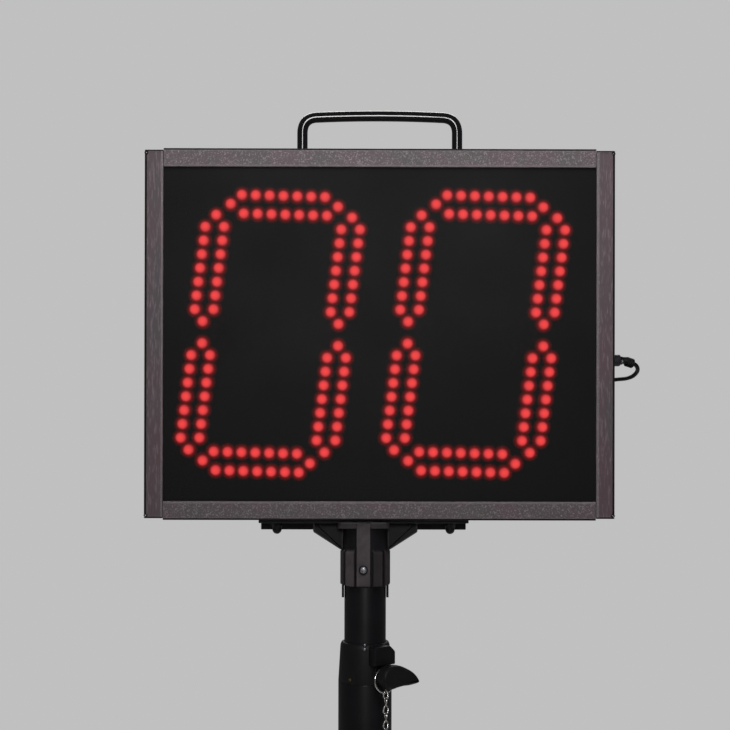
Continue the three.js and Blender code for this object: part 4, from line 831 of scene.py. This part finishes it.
def bracket_screw():
    """Pan-head screw in the front rib: a dark washer ring and a bright head."""
    washer = [(0, 18.1), (2, 18.1), (2, 20.9), (3.8, 20.9), (3.8, 21.3), (3.5, 21.5), (0, 21.5)]
    head = [(0, 21.2), (2.8, 21.2), (2.8, 21.8), (2.3, 22.2), (1.3, 22.45), (0, 22.5)]
    parts = [turned(part, POLE + SOCKET_SCREW_LEVEL * UP, spoke(SOCKET_TURN)[0], 32) + (number,)
             for number, part in enumerate((washer, head))]
    piece("socket_screw_head", "head", parts, [moulded, zinc], ["socket_screw"])


mount_bracket()
cap_nut("cap_nut_left", -74.5, "bracket_bolt_left")
cap_nut("cap_nut_right", 71.5, "bracket_bolt_right")
bracket_screw()


# Pole tubes, clamp collar, wing knob, ring, chain and locking pin

KNOB_LEVEL = 614.6
KNOB_OUT, KNOB_SIDE = spoke(38 - 90)
CHAIN_OUT, CHAIN_TOP, CHAIN_LOW = 27.8, 602.6, 544.4


def pipe(name, body, radius, low, high, node):
    """Drawn tube: a closed profile with rounded rims turned once round."""
    profile = rounded([(radius - 2, low), (radius, low), (radius, high), (radius - 2, high)], 0.6, 3)
    piece(name, body, [sleeve(profile)], [enamel], [node])


def clamp_collar():
    """Collar with a chamfered top and a spigot, turned; its lug and boss are rounded solids."""
    profile = rounded([
        (17.5, 569.3), (20.2, 569.3), (20.2, 607.05), (22.5, 607.05), (20.75, 637.5), (19.55, 640),
        (17.5, 640),
    ], [0.4, 0.6, 0.05, 0.05, 1.4, 0.9, 0.4], 5)
    face = rounded([(-10.5, 623.3), (11, 623.3), (11, 634), (5.8, 639), (-10.5, 639)], [1, 1, 1.2, 1.2, 1])
    lug = plate(face, 17.9, 27, 0.8, POLE, KNOB_SIDE, UP)
    boss = turned([(0, 17.9), (7, 17.9), (7, 23.4), (6.2, 24.2), (0, 24.2)], POLE + KNOB_LEVEL * UP, KNOB_OUT)
    piece("split_collar", "stand", [sleeve(profile), lug, boss], [moulded], ["clamp_collar"])


def rivet(degrees, radius, level, size):
    """Domed rivet that stands out of a round wall."""
    out = spoke(degrees)[0]
    dome = [(0, -1), (size, -1), (size, 0.15), (size * 0.8, size * 0.45), (size * 0.4, size * 0.7),
            (0, size * 0.75)]
    return turned(dome, POLE + radius * out + level * UP, out, 24)


def wing_knob():
    """Hub turned with a rounded rim, and one leaf that covers it: a slab over a smooth teardrop."""
    teardrop = smooth_loop(np.array([
        (-9.7, 0), (-6.9, -6.9), (-1.5, -9.5), (6, -8.7), (12, -8.2), (17.5, -8.4), (24, -8), (27.7, -7.4),
        (28.8, -6.3), (27.5, -3.5), (22.5, 1.7), (15, 6.1), (7.5, 9.2), (0, 9.9), (-6.9, 6.9),
    ]), 5)
    hub = rounded([(0, 27.9), (9.7, 27.9), (9.2, 36), (0, 36)], [0, 1.6, 1, 0], 6)[6:-6]
    neck = [(0, 17.8), (4, 17.8), (4, 24.5), (5.5, 24.5), (5.5, 28.6), (0, 28.6)]
    origin = POLE + KNOB_LEVEL * UP
    parts = [turned(outline, origin, KNOB_OUT, 64) for outline in (hub, neck)]
    parts.append(plate(teardrop, 30.4, 38.4, 2.6, origin, KNOB_SIDE, UP, 6))
    piece("leaf_knob", "knob", parts, [moulded], ["wing_knob"])


pipe("upper_pole_tube", "pole", 17.5, 197.7, 737.7, "upper_tube")
pipe("lower_pole_tube", "stand", 22.5, 53.3, 607, "lower_tube")
clamp_collar()
# The small zinc dot on the chamfer under the tube is a painted highlight: it stands for a glint just above
# the first rivet
piece("collar_rivets_and_glint_dot", "stand",
      [rivet(-91, 20.6, 636.9, 1.8), rivet(-91, 19, 640, 1.3), rivet(-124.6, 22.1, 610.6, 1.5) + (1,)],
      [zinc, brass])
wing_knob()


def hoop(centre, radius, wire, sides, lean=0.0):
    """Circle of wire that faces outwards from the pole; its top leans inwards by a share of its height."""
    t = once_round(sides)[:, None]
    return looped_tube(centre + radius * (np.cos(t) * KNOB_SIDE + np.sin(t) * (UP - lean * KNOB_OUT)), wire)


def chain():
    """Wire ring, and oval links: each is a circle carried round a stadium that twists a little from
    end to end, and each next link stands a quarter turn from the last."""
    below_knob = POLE + 26.5 * KNOB_OUT + (KNOB_LEVEL - 3.6) * UP
    surfaces = [hoop(below_knob, 10.2, 0.8, 64, lean=0.1)]
    count, length, wide, wire = 9, 8, 5.2, 0.72
    drop = (CHAIN_TOP - CHAIN_LOW - length) / (count - 1)
    t = once_round(64)
    z = 1.6 * np.tanh(1.7 * np.sin(t)) + 1.7 * np.sin(t)
    x = (wide / 2 - wire) * np.cos(t) * (1 + 0.15 * np.sin(t) ** 2)
    for i in range(count):
        middle = POLE + CHAIN_OUT * KNOB_OUT + (CHAIN_TOP + 0.8 - length / 2 - i * drop) * UP
        twist = 0.25 + i * math.pi / 2 + 0.16 * z
        route = middle + np.column_stack([x * np.cos(twist), x * np.sin(twist), z])
        surfaces.append(looped_tube(route, wire))
    piece("ring_and_chain", "chain", surfaces, [bright], ["pin_chain"])


def locking_pin():
    """Pin with a wire eye, a turned head groove, a plain shank and a rounded tip."""
    eye = CHAIN_LOW - 0.4
    top = eye - 2.8
    low = top - 46
    hang = POLE + CHAIN_OUT * KNOB_OUT
    tip = [(0, low), (0.9, low + 0.15), (1.7, low + 0.8), (2.3, low + 1.8), (2.6, low + 3)]
    head = [(2.6, top - 6), (2.1, top - 5.6), (2.1, top - 4.8), (2.6, top - 4.4), (2.6, top - 0.9),
            (2.2, top - 0.1), (0, top)]
    parts = [hoop(hang + eye * UP, 3.1, 0.9, 48), turned(tip + head, hang, UP, 32, side=RIGHT)]
    piece("locking_pin_turned", "chain", parts, [bright], ["locking_pin"])


chain()
locking_pin()


# Battery box and its gland on the rear cover

def battery_box():
    """Moulded box of two rounded slabs with a narrow groove between body and lid, and four lid screws."""
    (x0, y0, z0), (x1, y1, z1) = (np.array(corner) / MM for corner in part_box("battery_box"))
    middle = np.array([(x0 + x1) / 2, 0, (z0 + z1) / 2])
    wide, tall = (x1 - x0) / 2, (z1 - z0) / 2
    outline = rounded([(-wide, -tall), (wide, -tall), (wide, tall), (-wide, tall)], 7, 6)
    split, groove, from_edge = y0 + 23, 0.8, 8
    parts = [plate(outline, y0, split, 0.6, middle, -RIGHT, UP, 5),
             plate(outline, split + groove, y1, 3, middle, -RIGHT, UP, 5),
             plate(inset(outline, 1), split - 1, split + 2, 0.2, middle, -RIGHT, UP)]
    parts += [screw_head(middle + [x, y1 - 0.4, z], 2.6, 1.2) + (1,)
              for x in (from_edge - wide, wide - from_edge) for z in (from_edge - tall, tall - from_edge)]
    piece("lidded_battery_box", "head", parts, [moulded, blackened], ["battery_box"])


def gland():
    """Cable gland: a hexagonal foot, a ribbed dome nut and a soft seal round the lead."""
    foot = [(0, 0), (6.5, 0), (6.5, 2.4), (6, 2.9), (0, 2.9)]
    dome = [(0, 2.6), (5.9, 2.6), (6, 3), (6, 7.4), (5.6, 8.6), (4.6, 9.8), (3.6, 10.4), (0, 10.4)]
    seal = [(0, 10), (2.9, 10), (2.9, 10.8), (2.4, 11), (0, 11)]
    grip = 0.97 + 0.03 * np.cos(12 * once_round(96))
    place = HEAD + [85, 44.6, -40]
    parts = [turned(foot, place, RIGHT, 96, slice(1, 4), hexagon(96)),
             turned(dome, place, RIGHT, 96, slice(1, 5), grip), turned(seal, place, RIGHT)]
    piece("dome_nut_gland", "head", parts, [moulded], ["lead_gland"])


battery_box()
gland()


# Tripod: hub, sliding collar with its lobed knob, legs, feet and braces

LEGS = {"rear": 90, "left": 210, "right": 330}
LEG_HINGE = (53, 246.164)
COLLAR_KNOB_LEVEL = LEG_HINGE[1]
BRACE_HINGE = (31, 64)
BRACE_FAR = (222.61, 140.18)
LEG_FALL = math.radians(58)
LEG_HALF, LEG_LONG, FOOT_AT, FOOT_RADIUS = 10, 436, 440, 15


def at(turn, reach, level):
    """Place at a distance from the pole and a level, in the plane of a leg."""
    return POLE + spoke(turn)[0] * reach + UP * level


def ear(turn, hinge, start, radius, middle, half, rim):
    """Ear in the plane of a leg: straight from the casting and round about its hinge."""
    across, level = hinge
    nose = bend(across, level, radius, -90, 90, 12)
    outline = np.vstack([(start, level - radius), nose, (start, level + radius)])
    return plate(outline, middle - half, middle + half, rim, POLE, spoke(turn)[0], UP)


def hinge_head(turn, spot, out):
    """Hexagonal bolt head with a washer on one side of a hinge and the nut on the other."""
    across = spoke(turn)[1]
    washer = [(0, 0), (5.6, 0), (5.6, 0.7), (5.3, 0.9), (0, 0.9)]
    head = [(0, 0.8), (4.6, 0.8), (4.6, 2.8), (4.1, 3.5), (0, 3.5)]
    shapes = [(washer, 32), (head, 48, slice(1, 4), hexagon(48))]
    return [turned(profile, at(turn, *spot) + side * out * across, side * across, *form) + (1,)
            for side in (-1, 1) for profile, *form in shapes]


def base_hub():
    """Turned cup with rounded rims and a step, and a tongue for each brace."""
    cup = rounded([(0, 50), (24.5, 50), (26, 54), (26, 74), (25, 78), (22.9, 78), (22.9, 53.1), (0, 53.1)],
                  [0, 1.5, 1.5, 1.2, 1, 0.5, 0.5, 0])[4:-4]
    parts = [turned(cup, POLE, UP, 96, side=RIGHT)]
    parts += [ear(turn, BRACE_HINGE, start=23.5, radius=6, middle=0, half=9.7, rim=1)
              for turn in LEGS.values()]
    piece("turned_base_hub", "stand", parts, [moulded], ["base_hub"])


def leg_collar():
    """Turned sleeve with two raised bands, a pair of ears for each leg, and the boss of its knob."""
    low, high, band, step = 224.2, 264.2, 9, 10.5
    outline = rounded([
        (22.9, low), (29, low), (29, low + band), (28, low + step), (28, high - step), (29, high - band),
        (29, high), (22.9, high)], [0.5, 1.6, 0.8, 0.8, 0.8, 0.8, 1.6, 0.5])
    parts = [sleeve(outline)]
    for turn in LEGS.values():
        parts += [ear(turn, LEG_HINGE, start=26, radius=9, middle=side * 12.5, half=2, rim=0.9)
                  for side in (-1, 1)]
        parts += hinge_head(turn, LEG_HINGE, 14.5)
    boss = [(0, 26), (9, 26), (8.2, 30), (8, 34.6), (7.4, 35.5), (0, 35.5)]
    parts.append(turned(boss, POLE + COLLAR_KNOB_LEVEL * UP, -BACK))
    piece("eared_leg_collar", "slide", parts, [moulded, blackened], ["leg_collar"])


def collar_knob():
    """Lobed grip: radius 12.3 + 0.7 cos 6t with rounded edges and a dished face, on its screw."""
    lobes = (12.3 + 0.7 * np.cos(6 * once_round(96))) / 13
    grip = rounded([(0, 36.4), (13, 36.4), (13, 52), (6, 52), (5, 50.8), (0, 50.8)],
                   [0, 1.6, 2.6, 0.8, 0.6, 0], 5)[5:-5]
    screw = [(0, 23.2), (4, 23.2), (4, 38), (0, 38)]
    origin = POLE + COLLAR_KNOB_LEVEL * UP
    parts = [turned(grip, origin, -BACK, 96, slice(1, 13), lobes), turned(screw, origin, -BACK, 32) + (1,)]
    piece("lobed_collar_knob", "slide_knob", parts, [moulded, blackened], ["collar_knob"])


def leg(place, number):
    """Square tube with rounded corners carried straight down the leg, a plug in its upper end, and the
    rubber foot: a ball with three grooves and a collar, turned about the leg and cut off by the floor."""
    turn = LEGS[place]
    out, across = spoke(turn)
    fall = out * math.sin(LEG_FALL) - UP * math.cos(LEG_FALL)
    hinge = at(turn, *LEG_HINGE)
    square = rounded(LEG_HALF * np.array([(-1, -1), (1, -1), (1, 1), (-1, 1)]), 2.6, 5)
    tube = along(skin(slab(square, -LEG_HALF, LEG_LONG, 0.5)), hinge, fall, across)
    plug = along(skin(slab(inset(square, 1.7), -LEG_HALF - 0.8, -6, 0.7)), hinge, fall, across)
    piece(f"square_leg_{place}", f"leg_{place}", [tube, plug + (1,)], [enamel, moulded],
          [f"leg_{number}"])
    ball = bend(0, 0, FOOT_RADIUS, -90, 0, 12)
    groove = np.array([(15, 2), (14.2, 3), (14.2, 4.4), (15, 5.4)])
    upper = [(14.7, 18.5), (14.4, 27), (14.9, 28.4), (15, 31.5), (14.6, 33.4), (13.6, 34), (0, 34)]
    boot = np.vstack([ball, groove, groove + [0, 5.4], groove + [0, 10.8], upper])
    foot = turned(boot, hinge + FOOT_AT * fall, -fall, 64, side=across)
    foot[0][:, 2] = np.maximum(foot[0][:, 2], 0)
    piece(f"rubber_foot_{place}", f"leg_{place}", [foot], [rubber], [f"foot_{number}"])


def brace(place, number):
    """Two pressed straps with round ends, the cross pin at the hub, and a rivet head at each end."""
    turn = LEGS[place]
    across = spoke(turn)[1]
    start = at(turn, *BRACE_HINGE)
    run = at(turn, *BRACE_FAR) - start
    length = np.linalg.norm(run)
    half, apart, thin, pin = 6, 12, 1.5, 3.5
    outline = np.vstack([bend(0, 0, half, 180, 360, 12), bend(0, length, half, 0, 180, 12)])
    over = np.cross(run, across) / length
    parts = [plate(outline, side * apart - thin, side * apart + thin, 0.8, start, over, run / length)
             for side in (-1, 1)]
    parts.append(turned([(0, -apart), (pin, -apart), (pin, apart), (0, apart)], start, across, 32) + (1,))
    dome = [(0, 0), (4.4, 0), (4.3, 0.6), (3.6, 1.3), (2.2, 1.8), (0, 2)]
    parts += [turned(dome, spot + side * (apart + 1.4) * across, side * across, 32) + (1,)
              for spot in (start, start + run) for side in (-1, 1)]
    piece(f"strap_brace_{place}", f"brace_{place}", parts, [enamel, blackened],
          [f"brace_{number}"])


base_hub()
leg_collar()
collar_knob()
for number, place in enumerate(LEGS, 1):
    leg(place, number)
    brace(place, number)


# CAD nodes that stay take the procedural material of their slot

SLOT_MATERIALS = {
    "sand_textured_aluminium": sanded, "smoked_acrylic": acrylic, "black_circuit_board": black_mask,
    "green_circuit_board": green_mask, "bare_sheet": sheet_metal, "black_enamel": enamel,
    "black_plastic": moulded, "cast_plastic": nylon, "cell_wrap": wrap, "bright_steel": bright,
    "black_rubber": rubber, "lit_red_lens": lit_lens, "unlit_red_lens": dark_lens,
}
for row in frame["record"]["subparts"]:
    for held in frame["nodes"][row["node"]].material_slots:
        held.material = SLOT_MATERIALS[row["material_slot"]]


# Studio: pale floor and air, a flash and a glint beside the camera, a soft key above and soft fills

def stage_material(name, code):
    """Matt paper with a barely visible fibre. To the camera more than half of its paleness is even, so
    that it stays pale far from the lamps and keeps the object's shadow."""
    material, tree, place = new_material(name)
    fibre = noise(tree, place, 40.0, 4.0)
    tint = mixed(tree, ramp(tree, fibre, 0.3, 0.7, 0, 0.06), linear(code), linear("#b4b4b4"))
    surface = add(tree, "BsdfPrincipled", {
        "Base Color": tint, "Roughness": 0.9, "Specular IOR Level": 0.1}).outputs["BSDF"]
    even = add(tree, "Emission", {"Color": linear("#cccccc"), "Strength": 1.0}).outputs["Emission"]
    seen = add(tree, "LightPath").outputs["Is Camera Ray"]
    both = add(tree, "MixShader", {0: ramp(tree, seen, 0, 1, 0, 0.6), 1: surface, 2: even})
    add(tree, "OutputMaterial", {"Surface": both.outputs["Shader"]})
    return material


def stage_plane(name, corners, material):
    mesh = bpy.data.meshes.new(name)
    mesh.from_pydata(corners, [], [(0, 1, 2, 3)])
    mesh.materials.append(material)
    linked(name, mesh)


def soft_light(name, place, target, width, height, power, shine=True, lit=True):
    """Area lamp turned to a target, in metres and watts. Without shine it adds no highlight, and
    without lit nothing but highlights."""
    lamp = bpy.data.lights.new(name, "AREA")
    lamp.shape = "RECTANGLE"
    lamp.size, lamp.size_y, lamp.energy = width, height, power
    away = np.array(place, float) - np.array(target, float)
    away /= np.linalg.norm(away)
    side = np.cross(UP, away)
    side /= np.linalg.norm(side)
    holder = linked(name, lamp)
    holder.matrix_world = axes_matrix(side, np.cross(away, side), away, place)
    holder.visible_camera = False
    holder.visible_glossy = shine
    holder.visible_diffuse = lit


floor_corners = [(-2, -2.2, 0), (2, -2.2, 0), (2, 1.8, 0), (-2, 1.8, 0)]
stage_plane("floor", floor_corners, stage_material("pale_paper", "#c6c6c6"))
soft_light("soft_flash_beside_camera", (0.02, -1.42, 1.08), (0, -0.13, 0.9), 0.24, 0.2, 3)
soft_light("glint_above_camera", (0.01, -1.42, 1.23), (0, -0.13, 1.02), 0.24, 0.24, 4, lit=False)
soft_light("key_above", (0.04, -0.62, 1.48), (0, -0.13, 0.9), 0.5, 0.3, 6.8, shine=False)
soft_light("fill_left", (-1.7, 0.45, 0.9), (0, -0.1, 0.75), 0.9, 1.2, 6, shine=False)
soft_light("fill_right", (1.7, 0.45, 0.9), (0, -0.1, 0.75), 0.9, 1.2, 4, shine=False)
soft_light("fill_behind", (0, 1.6, 2.1), (0, -0.1, 0.8), 1.4, 0.8, 18)


def studio_air():
    """Even pale grey behind the object for the camera, and a weaker grey that lights it from all sides."""
    scene.world = bpy.data.worlds.new("studio")
    tree = started(scene.world)
    ray = add(tree, "LightPath")
    seen = add(tree, "Background", {"Color": linear("#c0c0c0"), "Strength": 1.0})
    around = add(tree, "Background", {"Color": linear("#d8d8d8"), "Strength": 0.16})
    both = add(tree, "MixShader", {
        0: ray.outputs["Is Camera Ray"], 1: around.outputs["Background"], 2: seen.outputs["Background"]})
    add(tree, "OutputWorld", {"Surface": both.outputs["Shader"]})


studio_air()
scene.view_settings.view_transform = "Standard"
